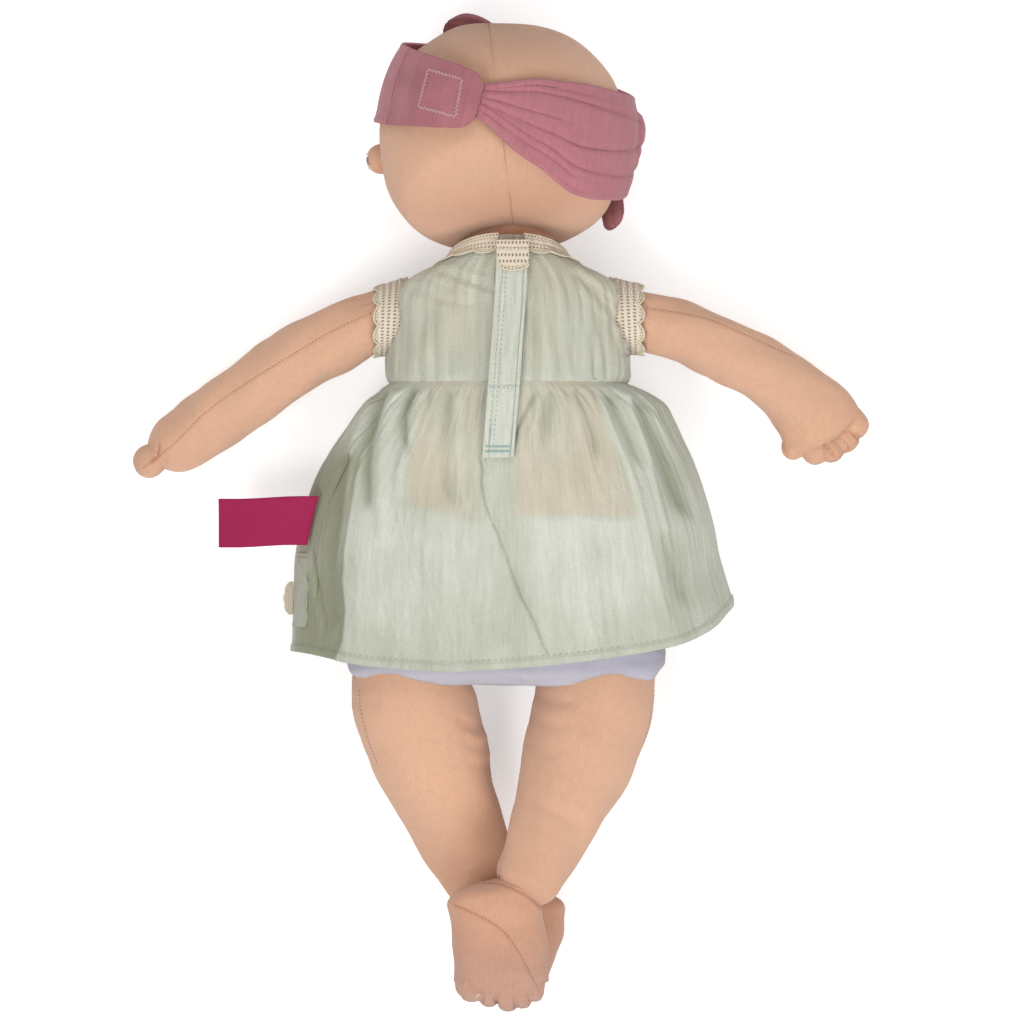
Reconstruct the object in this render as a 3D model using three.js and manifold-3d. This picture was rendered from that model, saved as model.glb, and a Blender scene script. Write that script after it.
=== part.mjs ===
// A soft baby doll in a gathered sun dress, lying face down on the floor.
// Millimetres, +Z up from the floor, +Y towards the crown, +X to the doll's right.
// The origin is on the floor under the middle of the doll.

import * as THREE from "three";
import { mergeVertices } from "three/addons/utils/BufferGeometryUtils.js";
import Module from "manifold-3d";

const wasm = await Module();
wasm.setup();

// Sizes that all pieces share
const CLOTH_GAP = 0.4; // clear space between two sewn pieces
const CLOTH = 1.4; // thickness of the dress cloth
const OVERRUN = 20; // how far a cutting solid runs past what it cuts
const SPINE_X = 3.6; // the spine lies beside the middle of the arms' span
const SPINE_Z = 34; // height of the spine above the floor

// Head
const HEAD_WIDTH = 98;
const HEAD_HEIGHT = 92;
const HEAD_DEPTH = 88;
const HEAD_X = 1.2;
const HEAD_Y = 148.8;
const HEAD_Z = 50;
const HEAD_LEAN = THREE.MathUtils.degToRad(7);
const HEAD_POWER = 2.25; // how square the crown is, where 2 is an ellipse
const CHIN_POWER = 2.16;
const CHIN_DROP_SHARE = 1.07; // how much longer the lower half is than the upper
const NAPE_TUCK_SHARE = 0.29;
const CHEEK_SHARE = 0.03;
const napeSpreadShares = [0.52, 1]; // where the tuck starts and is full, as cosines
const cheekSpreadShares = [0.8, 1];
const EAR_HEIGHT = 12;
const EAR_LENGTH = 13;
const EAR_REACH = 6;
const EAR_PRESSED_SHARE = 0.45; // how far the ear under the headband stands out
const NOSE_WIDTH = 10;
const NOSE_REACH = 3.4;
const EYE_WIDTH = 10;
const EYE_HEIGHT = 5;
const MOUTH_WIDTH = 11;
const MOUTH_HEIGHT = 3.4;
const STITCH_RELIEF = 0.9; // how far embroidery stands out of the skin

// Neck
const NECK_Y = 104;
const NECK_Z = 40;
const NECK_RADIUS = 19.5;

// Torso
const TORSO_WIDTH = 94;
const TORSO_DEPTH = 58;
const TORSO_TOP_Y = 101;

// Arms
const SHOULDER_SPAN = 94; // between the two shoulder joints
const SHOULDER_Y = 79;
const SHOULDER_Z = 33.5;
const SHOULDER_BALL = 11.5;
const ARM_REACH = 112;
const ARM_WIDTH = 26;
const FINGER_WIDTH = 10.5;
const TAB_THICKNESS = 1.6;
const SHOULDER_TAB_RADIUS = 8.6;

// Legs and feet
const HIP_SPAN = 75; // between the two hip joints
const HIP_X = 2.2;
const HIP_Y = -60;
const HIP_Z = 27;
const HIP_BALL = 23;
const HIP_TAB_RADIUS = 19;
const LEG_REACH = 100;
const LEG_WIDTH = 48;
const ANKLE_CAP_SHARE = 0.24;
const FOOT_LENGTH = 54;
const FOOT_WIDTH = 39;
const FOOT_DEPTH = 26;
const HEEL_CAP_SHARE = 0.3;
const SOLE_CAP_SHARE = 0.16;
const TOE_WIDTH = 10.5;

// Nappy
const NAPPY_WIDTH = 128;
const NAPPY_DEPTH = 58;
const NAPPY_TOP_Y = 6;
const NAPPY_BOTTOM_Y = -68.2;
const NAPPY_Z = 32.6;

// Dress
const WAIST_Y = 52;
const BODICE_WIDTH = 97;
const BODICE_DEPTH = 66.8;
const BODICE_HEIGHT = 47.5;
const WAIST_Z = 34.8;
const ARMHOLE_RADIUS = 17;
const SKIRT_WIDTH = 177;
const SKIRT_LENGTH = 115;
const SKIRT_BACK_HEIGHT = 65;
const SKIRT_RIPPLE = 4;
const RIPPLE_UNEVEN_SHARE = 0.25;
const RIPPLE_START_SHARE = 0.25; // how far below the waist the folds begin
const BACK_FOLDS = 6;
const FRONT_FOLDS = 4;
const FLOOR_FLAT = 0.5; // how deep the skirt is pressed flat by the floor
const PLACKET_WIDTH = 12.6;
const PLACKET_LENGTH = 78;
const PLACKET_X = 2.4;
const PLACKET_LEAN_X = 6; // how far the strip drifts to the side down its length
const PLACKET_TOP_SHARE = 0.02;
const STRIP_RISE_SHARE = 0.35; // how far the strip follows the neckline's lean
const tapeSpanShares = [0.1, 0.52]; // where the tapes start and end down the strip
const TAPE = 0.8; // thickness of the hook and loop tapes
const TAPE_WIDTH = 7;
const LACE = 1; // thickness of the crochet lace
const COLLAR_LACE_WIDTH = 8.5;
const COLLAR_LACE_LIFT = 0.7; // above the bodice, which the lace spans from fold to fold
const ARMHOLE_LACE_WIDTH = 8;
const ARMHOLE_LACE_FALL = 1.2; // how far the frill draws in towards the arm
const ARMHOLE_LACE_START = 3; // how far inside the joint's centre the frill is sewn on
const ARMHOLE_LACE_TOP = 3.6; // and how much further at the top of the shoulder
const COLLAR_SCALLOPS = 18;
const ARMHOLE_SCALLOPS = 12;
const POCKET_SCALLOPS = 3;
const SCALLOP_SHARE = 0.22;
const COLLAR_OPEN_RIGHT = THREE.MathUtils.degToRad(14); // the lace's opening on either side of the back
const COLLAR_OPEN_LEFT = THREE.MathUtils.degToRad(9);
const PLACKET_LACE_SHARE = 0.12;
const TAG_LENGTH = 38;
const TAG_WIDTH = 19.5;
const TAG_THICKNESS = 1.6;
const TAG_Y = -3.5;
const TAG_DROOP = 12; // how far the tag's end hangs below its seam
const TAG_SLANT_SHARE = 0.05;
const TAG_TURN = THREE.MathUtils.degToRad(5); // from the side seam to the tag's root
const POCKET_LENGTH = 30;
const POCKET_Y = -16;
const POCKET_ANGLE_FROM = THREE.MathUtils.degToRad(154);
const POCKET_ANGLE_TO = THREE.MathUtils.degToRad(172);
const POCKET_LACE_TURN = THREE.MathUtils.degToRad(1.6); // from the pocket's edge to the lace's root
const POCKET_LACE_WIDTH = 3.6;
const POCKET_LACE_DROOP_SHARE = 0.3;
const pocketLaceSpanShares = [0.3, 0.88];

// Headband
const BAND_TILT = THREE.MathUtils.degToRad(14);
const BAND_GAP = 0.7;
const BAND_CLOTH = 1.6;
const BAND_FLARE = 5; // how far the band's upper edge stands off at the doll's left
const BAND_STAND = 3.2; // how far the folded band stands off at the doll's right
const BAND_LOW_STAND_SHARE = 0.3; // its share at the band's lower edge
const BAND_TAPE_WIDTH = 16;
const BAND_TAPE_TURN = THREE.MathUtils.degToRad(17);
const BAND_TAPE_MIDDLE = THREE.MathUtils.degToRad(-23);
const BAND_TAPE_HEIGHT_SHARE = 0.118;
const BAND_TAPE_DEPTH_SHARE = 0.62;
const KNOT_HEIGHT_SHARE = 0.29;
const tabRiseTurns = [-60, -36]; // where the band's end starts to lift, in degrees
const bandFlareTurns = [235, 285]; // where the band starts to stand off, and where it does fully
const tabFlareTurns = [-62, -30];
const bandStandTurns = [45, 80]; // where the folded band starts to stand off, and where it does fully
const bandCalmTurns = [100, 140]; // where it starts to come back, and where it lies on the head again
const KNOT_WIDTH = 16;
const KNOT_DEPTH = 8;
const BOW_EAR_WIDTH = 18;
const BOW_EAR_DEPTH = 5;
const BOW_TAIL_WIDTH = 13;
const BOW_TAIL_DEPTH = 4.4;
const TAIL_ACROSS_SHARE = 0.4; // where across the band the tail lies
const BOW_CAP_SHARE = 1.4; // length of the rounded ends, as a share of the bow's depth

// Counts of facets
const LIMB_AROUND = 16;
const BARREL_AROUND = 24;
const HEAD_AROUND = 26;
const HEAD_RINGS = 16;
const BALL_AROUND = 16;
const FINGER_AROUND = 8;
const BUTTON_AROUND = 10;
const BOW_AROUND = 12;
const STRIP_ROWS = 14;
const HALVINGS = 12; // rounds of a search by halves
const SEARCH_STEPS = 26;
const CLEAR_STEPS = 9;

const UP = new THREE.Vector3(0, 0, 1);
const TURN = 2 * Math.PI;
const QUARTER = Math.PI / 2;

const point = (x, y, z) => new THREE.Vector3(x, y, z);
const mix = (from, to, share) => from + (to - from) * share;
const steps = (count) => Array.from({ length: count }, (_, k) => k);
const degrees = THREE.MathUtils.degToRad;

// Reading a table of shares: the first column is the place, and a smooth curve joins the rows
function sharesAt(table, place) {
  const last = table.length - 1;
  const found = table.findIndex((row) => row[0] >= place);
  const high = Math.max(found === -1 ? last : found, 1);
  const low = high - 1;
  const span = table[high][0] - table[low][0];
  const t = THREE.MathUtils.clamp((place - table[low][0]) / span, 0, 1);
  return table[low].slice(1).map((start, k) => {
    const slope = (row) => {
      const before = table[Math.max(row - 1, 0)];
      const after = table[Math.min(row + 1, last)];
      return ((after[k + 1] - before[k + 1]) / (after[0] - before[0])) * span;
    };
    const keep = t * t * (3 - 2 * t);
    const leave = t * (1 - t) * (1 - t) * slope(low);
    const arrive = t * t * (1 - t) * slope(high);
    return mix(start, table[high][k + 1], keep) + leave - arrive;
  });
}

// Solids
function facedOutwards(geometry) {
  const places = geometry.attributes.position;
  const index = Array.from(geometry.index.array);
  const corner = (k) => new THREE.Vector3().fromBufferAttribute(places, index[k]);
  let volume = 0;
  for (let k = 0; k < index.length; k += 3) {
    volume += corner(k).dot(corner(k + 1).cross(corner(k + 2)));
  }
  if (volume < 0) {
    for (let k = 0; k < index.length; k += 3) {
      [index[k + 1], index[k + 2]] = [index[k + 2], index[k + 1]];
    }
    geometry.setIndex(index);
  }
  return geometry;
}

function solidOf(geometry) {
  const bare = geometry.clone();
  bare.deleteAttribute("normal");
  bare.deleteAttribute("uv");
  const merged = facedOutwards(mergeVertices(bare));
  return new wasm.Manifold(
    new wasm.Mesh({
      numProp: 3,
      vertProperties: Float32Array.from(merged.attributes.position.array),
      triVerts: Uint32Array.from(merged.index.array),
    }),
  );
}

function solidFrom(points, triangles) {
  const geometry = new THREE.BufferGeometry();
  const places = points.flatMap((p) => p.toArray());
  geometry.setAttribute("position", new THREE.Float32BufferAttribute(places, 3));
  geometry.setIndex(triangles.flat());
  return solidOf(geometry);
}

// A closed skin over rings of points, with a tip past the first and the last ring
function loft(rings, startTip, endTip) {
  const around = rings[0].length;
  const points = [...rings.flat(), startTip, endTip];
  const start = points.length - 2;
  const end = points.length - 1;
  const triangles = [];
  for (const k of steps(around)) {
    const next = (k + 1) % around;
    triangles.push([start, next, k]);
    for (const ring of steps(rings.length - 1)) {
      const low = ring * around;
      const high = low + around;
      triangles.push([low + k, low + next, high + next], [low + k, high + next, high + k]);
    }
    const top = (rings.length - 1) * around;
    triangles.push([end, top + k, top + next]);
  }
  return solidFrom(points, triangles);
}

// A sheet with a thickness: place(u, v, side) gives its outer (0) and inner (1) faces
function sheet(columns, rows, place, closed = false) {
  const across = closed ? columns : columns + 1;
  const points = [];
  for (const side of [0, 1]) {
    for (const v of steps(rows + 1)) {
      for (const u of steps(across)) {
        points.push(place(u / columns, v / rows, side));
      }
    }
  }
  const number = (u, v, side) => (side * (rows + 1) + v) * across + (u % across);
  const triangles = [];
  const quad = (a, b, c, d) => triangles.push([a, b, c], [a, c, d]);
  for (const u of steps(columns)) {
    for (const v of steps(rows)) {
      quad(number(u, v, 0), number(u + 1, v, 0), number(u + 1, v + 1, 0), number(u, v + 1, 0));
      quad(number(u, v + 1, 1), number(u + 1, v + 1, 1), number(u + 1, v, 1), number(u, v, 1));
    }
    quad(number(u, 0, 1), number(u + 1, 0, 1), number(u + 1, 0, 0), number(u, 0, 0));
    quad(number(u, rows, 0), number(u + 1, rows, 0), number(u + 1, rows, 1), number(u, rows, 1));
  }
  if (!closed) {
    for (const v of steps(rows)) {
      quad(number(0, v, 0), number(0, v + 1, 0), number(0, v + 1, 1), number(0, v, 1));
      quad(
        number(columns, v, 1),
        number(columns, v + 1, 1),
        number(columns, v + 1, 0),
        number(columns, v, 0),
      );
    }
  }
  return solidFrom(points, triangles);
}

function box(low, high) {
  const size = high.clone().sub(low);
  const geometry = new THREE.BoxGeometry(size.x, size.y, size.z);
  geometry.translate((low.x + high.x) / 2, (low.y + high.y) / 2, (low.z + high.z) / 2);
  return solidOf(geometry);
}

function ball(centre, radius, around = BALL_AROUND) {
  const geometry = new THREE.SphereGeometry(radius, around, around / 2);
  geometry.translate(centre.x, centre.y, centre.z);
  return solidOf(geometry);
}

// A flattened ball: reach along the outward direction, width across it and height along rise
function button(centre, outward, rise, reach, width, height, around = BUTTON_AROUND) {
  const out = outward.clone().normalize();
  const side = new THREE.Vector3().crossVectors(rise, out).normalize();
  const top = new THREE.Vector3().crossVectors(out, side);
  const frame = new THREE.Matrix4().makeBasis(
    side.multiplyScalar(width),
    top.multiplyScalar(height),
    out.multiplyScalar(reach),
  );
  frame.setPosition(centre);
  const geometry = new THREE.SphereGeometry(1, around, around - 3);
  geometry.applyMatrix4(frame);
  return solidOf(geometry);
}

function disc(centre, radius, thickness) {
  const geometry = new THREE.CylinderGeometry(radius, radius, thickness, BALL_AROUND);
  geometry.rotateX(QUARTER);
  geometry.translate(centre.x, centre.y, centre.z);
  return solidOf(geometry);
}

function cutBy(solid, ...tools) {
  return tools.reduce((rest, tool) => rest.subtract(tool), solid);
}

function joined(...solids) {
  return solids.reduce((all, next) => all.add(next));
}

// The point of an oval at an angle: power 2 is an ellipse, and more is squarer
function oval(angle, halfWidth, halfDepth, power) {
  const c = Math.cos(angle);
  const s = Math.sin(angle);
  const reach = (Math.abs(c) ** power + Math.abs(s) ** power) ** (-1 / power);
  return [halfWidth * c * reach, halfDepth * s * reach];
}

// Stuffed limbs: ovals along a curve, with a rounded cap at each end
function capStops(length, startCap, endCap, middleSteps, capSteps) {
  const cap = steps(capSteps).map((k) => ((k + 1) / capSteps) * QUARTER);
  return [
    ...cap.map((turn) => ({ distance: startCap * (1 - Math.cos(turn)), size: Math.sin(turn) })),
    ...steps(middleSteps - 1).map((k) => ({
      distance: mix(startCap, length - endCap, (k + 1) / middleSteps),
      size: 1,
    })),
    ...cap.toReversed().map((turn) => ({
      distance: length - endCap * (1 - Math.cos(turn)),
      size: Math.sin(turn),
    })),
  ];
}

function limb(form, grow = 0) {
  const curve = new THREE.CatmullRomCurve3(form.spine, false, "centripetal");
  const length = curve.getLength();
  const stops = capStops(length, form.startCap, form.endCap, form.middleSteps, form.capSteps ?? 4);
  const rings = stops.map(({ distance, size }) => {
    const share = distance / length;
    const centre = curve.getPointAt(share);
    const ahead = curve.getTangentAt(share);
    const side = new THREE.Vector3().crossVectors(ahead, form.up ?? UP).normalize();
    const top = new THREE.Vector3().crossVectors(side, ahead);
    const [width, depth] = sharesAt(form.sizeShares, share);
    return steps(form.around ?? LIMB_AROUND).map((k) => {
      const [x, z] = oval(
        (k / (form.around ?? LIMB_AROUND)) * TURN,
        (form.width / 2) * width * size + grow,
        (form.depth / 2) * depth * size + grow,
        form.power ?? 2,
      );
      return centre.clone().addScaledVector(side, x).addScaledVector(top, z);
    });
  });
  const startTip = curve.getPointAt(0).addScaledVector(curve.getTangentAt(0), -grow);
  const endTip = curve.getPointAt(1).addScaledVector(curve.getTangentAt(1), grow);
  return loft(rings, startTip, endTip);
}

// The spine of a limb, from shares of its reach, with a start behind its joint's centre
function limbSpine(joint, ballRadius, reach, spineShares) {
  const places = spineShares.map(([x, y, z]) =>
    point(joint.x + x * reach, joint.y + y * reach, joint.z + z * reach),
  );
  const back = places[1].clone().sub(places[0]).normalize();
  return [places[0].clone().addScaledVector(back, -ballRadius), ...places];
}

// Barrels: ovals square to the body's length, which may lean with their height
function barrelRing(form, share, inset, around = BARREL_AROUND, turn = 0) {
  const [width, lift, depth, lean] = sharesAt(form.rowShares, share);
  const y = mix(form.bottomY, form.topY, share);
  return steps(around).map((k) => {
    const [x, z] = oval(
      turn + (k / around) * TURN,
      (form.width / 2) * width - inset,
      (form.depth / 2) * depth - inset,
      form.power,
    );
    const leant = z > 0 ? lean * z : lean * z * (form.frontLeanShare ?? 1);
    return point(form.x + x, y + leant, form.z + lift * form.depth + z);
  });
}

function barrel(form, { inset = 0, overrun = 0 } = {}) {
  const rings = form.stopShares.map((share) => barrelRing(form, share, inset));
  if (overrun > 0) {
    const carried = (ring, distance) => ring.map((p) => p.clone().add(point(0, distance, 0)));
    rings.unshift(carried(rings[0], -overrun));
    rings.push(carried(rings.at(-1), overrun));
  }
  const middle = (ring) =>
    ring.reduce((sum, p) => sum.add(p), point(0, 0, 0)).divideScalar(ring.length);
  return loft(rings, middle(rings[0]), middle(rings.at(-1)));
}

function barrelTop(form, x, y) {
  const share = (y - form.bottomY) / (form.topY - form.bottomY);
  const [width, lift, depth] = sharesAt(form.rowShares, THREE.MathUtils.clamp(share, 0, 1));
  const across = Math.min(Math.abs((x - form.x) / ((form.width / 2) * width)), 1);
  const rise = (1 - across ** form.power) ** (1 / form.power);
  return form.z + lift * form.depth + (form.depth / 2) * depth * rise;
}

// Joints' centres
const neckCentre = point(SPINE_X, NECK_Y, NECK_Z);
const shoulderCentre = (side) => point(SPINE_X + (side * SHOULDER_SPAN) / 2, SHOULDER_Y, SHOULDER_Z);
const hipCentre = (side) => point(HIP_X + (side * HIP_SPAN) / 2, HIP_Y, HIP_Z);
const headCentre = point(HEAD_X, HEAD_Y, HEAD_Z);

// Head: an egg with full cheeks, tucked in at the nape
const headTurned = new THREE.Matrix4().makeRotationZ(HEAD_LEAN);
const headStraight = headTurned.clone().invert();
const headDirection = (x, y, z) => point(x, y, z).normalize().applyMatrix4(headTurned);
const napeDirection = point(-0.04, -0.85, 0.52).normalize();
const cheekDirections = [-1, 1].map((side) => point(side * 0.6, -0.42, -0.68).normalize());

function headReach(direction) {
  const d = direction.clone().applyMatrix4(headStraight);
  const below = THREE.MathUtils.smoothstep(-direction.y, 0, 1);
  const power = mix(HEAD_POWER, CHIN_POWER, below);
  const parts = [
    direction.x / (HEAD_WIDTH / 2),
    direction.y / ((HEAD_HEIGHT / 2) * mix(1, CHIN_DROP_SHARE, below)),
    direction.z / (HEAD_DEPTH / 2),
  ];
  const scaled = parts.reduce((sum, part) => sum + Math.abs(part) ** power, 0) ** (1 / power);
  const tuck = THREE.MathUtils.smoothstep(d.dot(napeDirection), ...napeSpreadShares);
  const cheeks = cheekDirections
    .map((cheek) => THREE.MathUtils.smoothstep(d.dot(cheek), ...cheekSpreadShares))
    .reduce((sum, share) => sum + share, 0);
  return ((1 - NAPE_TUCK_SHARE * tuck) * (1 + CHEEK_SHARE * cheeks)) / scaled;
}

function headSurface(direction, lift = 0) {
  return headCentre.clone().addScaledVector(direction, headReach(direction) + lift);
}

function headForm(grow = 0) {
  const geometry = new THREE.SphereGeometry(1, HEAD_AROUND, HEAD_RINGS);
  const places = geometry.attributes.position;
  for (const k of steps(places.count)) {
    const direction = new THREE.Vector3().fromBufferAttribute(places, k).normalize();
    const surface = headSurface(direction, grow);
    places.setXYZ(k, surface.x, surface.y, surface.z);
  }
  return solidOf(geometry);
}

const earDirections = {
  left: headDirection(-0.985, -0.04, -0.1),
  right: headDirection(0.985, -0.04, -0.1),
};
const earReaches = { left: EAR_REACH, right: EAR_REACH * EAR_PRESSED_SHARE };

function ear(name) {
  const out = earDirections[name];
  return cutBy(
    button(headSurface(out), out, UP, earReaches[name], EAR_HEIGHT / 2, EAR_LENGTH / 2),
    headForm(CLOTH_GAP),
  );
}

function faceStitch(direction, width, height, reach) {
  const crown = headDirection(0, 1, 0);
  const form = button(headSurface(direction), direction, crown, reach, width / 2, height / 2);
  return cutBy(form, headForm(CLOTH_GAP));
}

const head = () => cutBy(headForm(), ball(neckCentre, NECK_RADIUS + CLOTH_GAP));
const neck = () => ball(neckCentre, NECK_RADIUS);
const nose = () => faceStitch(headDirection(0, -0.2, -1), NOSE_WIDTH, NOSE_WIDTH, NOSE_REACH);
const eye = (side) =>
  faceStitch(headDirection(side * 0.36, 0.02, -1), EYE_WIDTH, EYE_HEIGHT, CLOTH_GAP + STITCH_RELIEF);
const mouth = () =>
  faceStitch(headDirection(0, -0.48, -0.9), MOUTH_WIDTH, MOUTH_HEIGHT, CLOTH_GAP + STITCH_RELIEF);

// Torso: a plump pillow that narrows to the shoulders and the neck
const torsoForm = {
  x: SPINE_X,
  z: SPINE_Z,
  width: TORSO_WIDTH,
  depth: TORSO_DEPTH,
  bottomY: HIP_Y + HIP_BALL - CLOTH_GAP,
  topY: TORSO_TOP_Y,
  power: 2.3,
  // place, half width, lift of the middle, half depth, lean
  rowShares: [
    [0, 0.78, -0.065, 0.5, 0],
    [0.05, 0.95, -0.06, 0.82, 0],
    [0.16, 1, -0.03, 0.95, 0],
    [0.34, 1, -0.01, 0.98, 0],
    [0.55, 0.96, 0, 0.97, 0],
    [0.68, 0.89, 0.005, 0.94, 0],
    [0.76, 0.78, 0.012, 0.9, 0.02],
    [0.84, 0.755, 0.03, 0.85, 0.06],
    [0.91, 0.7, 0.05, 0.78, 0.12],
    [0.96, 0.5, 0.08, 0.66, 0.18],
    [1, 0.4, 0.1, 0.62, 0.2],
  ],
  stopShares: [0, 0.04, 0.12, 0.3, 0.55, 0.68, 0.76, 0.85, 0.92, 0.97, 1],
};

function torso() {
  return cutBy(
    barrel(torsoForm),
    ball(neckCentre, NECK_RADIUS + 2 * CLOTH_GAP),
    ...[-1, 1].map((side) => ball(shoulderCentre(side), SHOULDER_BALL + CLOTH_GAP)),
    ...[-1, 1].map((side) => ball(hipCentre(side), HIP_BALL + CLOTH_GAP)),
  );
}

// Tabs: the unstuffed round end of each limb's cloth, on which the limb swings
const shoulderTab = (side) => disc(shoulderCentre(side), SHOULDER_TAB_RADIUS, TAB_THICKNESS);
const hipTab = (side) => disc(hipCentre(side), HIP_TAB_RADIUS, TAB_THICKNESS);

function tabSlot(centre, radius, towards) {
  const room = TAB_THICKNESS / 2 + CLOTH_GAP;
  const wide = radius + CLOTH_GAP;
  const far = centre.clone().addScaledVector(towards, OVERRUN + radius);
  const low = point(Math.min(centre.x, far.x), Math.min(centre.y, far.y), centre.z - room);
  const high = point(Math.max(centre.x, far.x), Math.max(centre.y, far.y), centre.z + room);
  const across = point(Math.abs(towards.y), Math.abs(towards.x), 0).multiplyScalar(wide);
  return joined(disc(centre, wide, 2 * room), box(low.sub(across), high.add(across)));
}

// Arms: the left one shows its narrow edge, and the right one its open palm's back
const armForms = {
  left: {
    side: -1,
    capShare: 0.42, // length of the rounded hand, as a share of the arm's width
    spineShares: [
      [0, 0, 0],
      [-0.264, -0.12, -0.03],
      [-0.518, -0.284, -0.09],
      [-0.71, -0.425, -0.135],
      [-0.865, -0.508, -0.145],
    ],
    sizeShares: [
      [0, 0.885, 0.885],
      [0.09, 0.885, 0.885],
      [0.3, 1.03, 1],
      [0.55, 1.03, 1],
      [0.78, 1, 1],
      [0.9, 0.93, 1.15],
      [1, 0.74, 1.1],
    ],
    // middle and half width of each finger, as a share of the finger's width
    fingerShares: [
      [-0.868, -0.522, -0.1, 0.62],
      [-0.87, -0.528, -0.165, 0.6],
      [-0.858, -0.522, -0.225, 0.54],
      [-0.79, -0.44, -0.225, 0.48],
    ],
  },
  right: {
    side: 1,
    capShare: 0.24,
    spineShares: [
      [0, 0, 0],
      [0.255, -0.083, -0.03],
      [0.507, -0.21, -0.1],
      [0.655, -0.328, -0.165],
      [0.738, -0.453, -0.185],
    ],
    sizeShares: [
      [0, 0.885, 0.885],
      [0.09, 0.885, 0.885],
      [0.3, 0.93, 1],
      [0.55, 0.97, 0.98],
      [0.76, 1.04, 0.88],
      [0.9, 1.27, 0.78],
      [1, 1.26, 0.7],
    ],
    fingerShares: [
      [0.682, -0.49, -0.185, 0.5],
      [0.738, -0.48, -0.19, 0.52],
      [0.79, -0.444, -0.19, 0.52],
      [0.828, -0.393, -0.185, 0.5],
      [0.605, -0.48, -0.18, 0.4],
    ],
  },
};

function armLimb(form) {
  return {
    spine: limbSpine(shoulderCentre(form.side), SHOULDER_BALL, ARM_REACH, form.spineShares),
    width: ARM_WIDTH,
    depth: ARM_WIDTH,
    sizeShares: form.sizeShares,
    startCap: SHOULDER_BALL,
    endCap: ARM_WIDTH * form.capShare,
    middleSteps: 7,
  };
}

function arm(name) {
  const form = armForms[name];
  const centre = shoulderCentre(form.side);
  const fingers = form.fingerShares.map(([x, y, z, size]) =>
    ball(
      point(centre.x + x * ARM_REACH, centre.y + y * ARM_REACH, centre.z + z * ARM_REACH),
      FINGER_WIDTH * size,
      FINGER_AROUND,
    ),
  );
  return cutBy(
    joined(limb(armLimb(form)), ...fingers),
    tabSlot(centre, SHOULDER_TAB_RADIUS, point(-form.side, 0, 0)),
  );
}

// Legs: the right one crosses over the left at the ankles
const legForms = {
  left: {
    side: -1,
    spineShares: [
      [0, 0, 0],
      [0.005, -0.14, -0.005],
      [0.06, -0.33, -0.03],
      [0.14, -0.55, -0.07],
      [0.24, -0.78, -0.1],
      [0.34, -0.95, -0.11],
    ],
    sizeShares: [
      [0, 0.958, 0.958],
      [0.19, 0.958, 0.958],
      [0.3, 1.02, 0.96],
      [0.45, 1, 0.9],
      [0.6, 0.88, 0.8],
      [0.75, 0.76, 0.68],
      [0.9, 0.67, 0.58],
      [1, 0.63, 0.56],
    ],
    footShares: [
      [0.16, 0.05, 0],
      [0.155, -0.19, 0],
      [0.02, -0.55, 0],
    ],
    toes: false,
  },
  right: {
    side: 1,
    spineShares: [
      [0, 0, 0],
      [-0.015, -0.14, 0.015],
      [-0.075, -0.36, 0.07],
      [-0.165, -0.6, 0.135],
      [-0.26, -0.82, 0.19],
      [-0.33, -0.95, 0.21],
    ],
    sizeShares: [
      [0, 0.958, 0.958],
      [0.19, 0.958, 0.958],
      [0.3, 0.99, 0.96],
      [0.45, 0.96, 0.9],
      [0.6, 0.84, 0.8],
      [0.75, 0.68, 0.66],
      [0.9, 0.58, 0.56],
      [1, 0.56, 0.55],
    ],
    footShares: [
      [-0.2, 0.16, -0.02],
      [-0.118, -0.337, 0.02],
      [-0.113, -0.66, 0.035],
    ],
    toes: true,
  },
};

function legLimb(form) {
  return {
    spine: limbSpine(hipCentre(form.side), HIP_BALL, LEG_REACH, form.spineShares),
    width: LEG_WIDTH,
    depth: LEG_WIDTH,
    sizeShares: form.sizeShares,
    startCap: HIP_BALL,
    endCap: LEG_WIDTH * ANKLE_CAP_SHARE,
    middleSteps: 8,
  };
}

function footLimb(form) {
  const ankle = legLimb(form).spine.at(-1);
  const spine = form.footShares.map(([x, y, z]) =>
    point(ankle.x + x * FOOT_LENGTH, ankle.y + y * FOOT_LENGTH, ankle.z + z * FOOT_LENGTH),
  );
  return {
    spine,
    width: FOOT_WIDTH,
    depth: FOOT_DEPTH,
    sizeShares: [
      [0, 0.95, 1.02],
      [0.35, 0.96, 1.02],
      [0.7, 0.95, 0.95],
      [1, 1, 0.8],
    ],
    startCap: FOOT_DEPTH * HEEL_CAP_SHARE,
    endCap: FOOT_DEPTH * SOLE_CAP_SHARE,
    middleSteps: 3,
    power: 2.2,
  };
}

function foot(name, grow = 0) {
  const form = legForms[name];
  const shape = footLimb(form);
  const body = limb(shape, grow);
  if (!form.toes) {
    return body;
  }
  const tip = shape.spine.at(-1);
  const toeShares = [
    [-0.27, 0.02, 0.52],
    [-0.12, -0.07, 0.44],
    [0.05, -0.105, 0.44],
    [0.19, -0.08, 0.4],
    [0.32, -0.02, 0.36],
  ];
  const toes = toeShares.map(([x, y, size]) =>
    ball(
      point(tip.x + x * FOOT_WIDTH, tip.y + y * FOOT_WIDTH, tip.z),
      size * TOE_WIDTH + grow,
      FINGER_AROUND,
    ),
  );
  return joined(body, ...toes);
}

function legSolid(name, grow = 0) {
  return limb(legLimb(legForms[name]), grow);
}

function leg(name) {
  const form = legForms[name];
  return cutBy(
    legSolid(name),
    foot(name, CLOTH_GAP),
    tabSlot(hipCentre(form.side), HIP_TAB_RADIUS, point(0, 1, 0)),
  );
}

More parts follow.
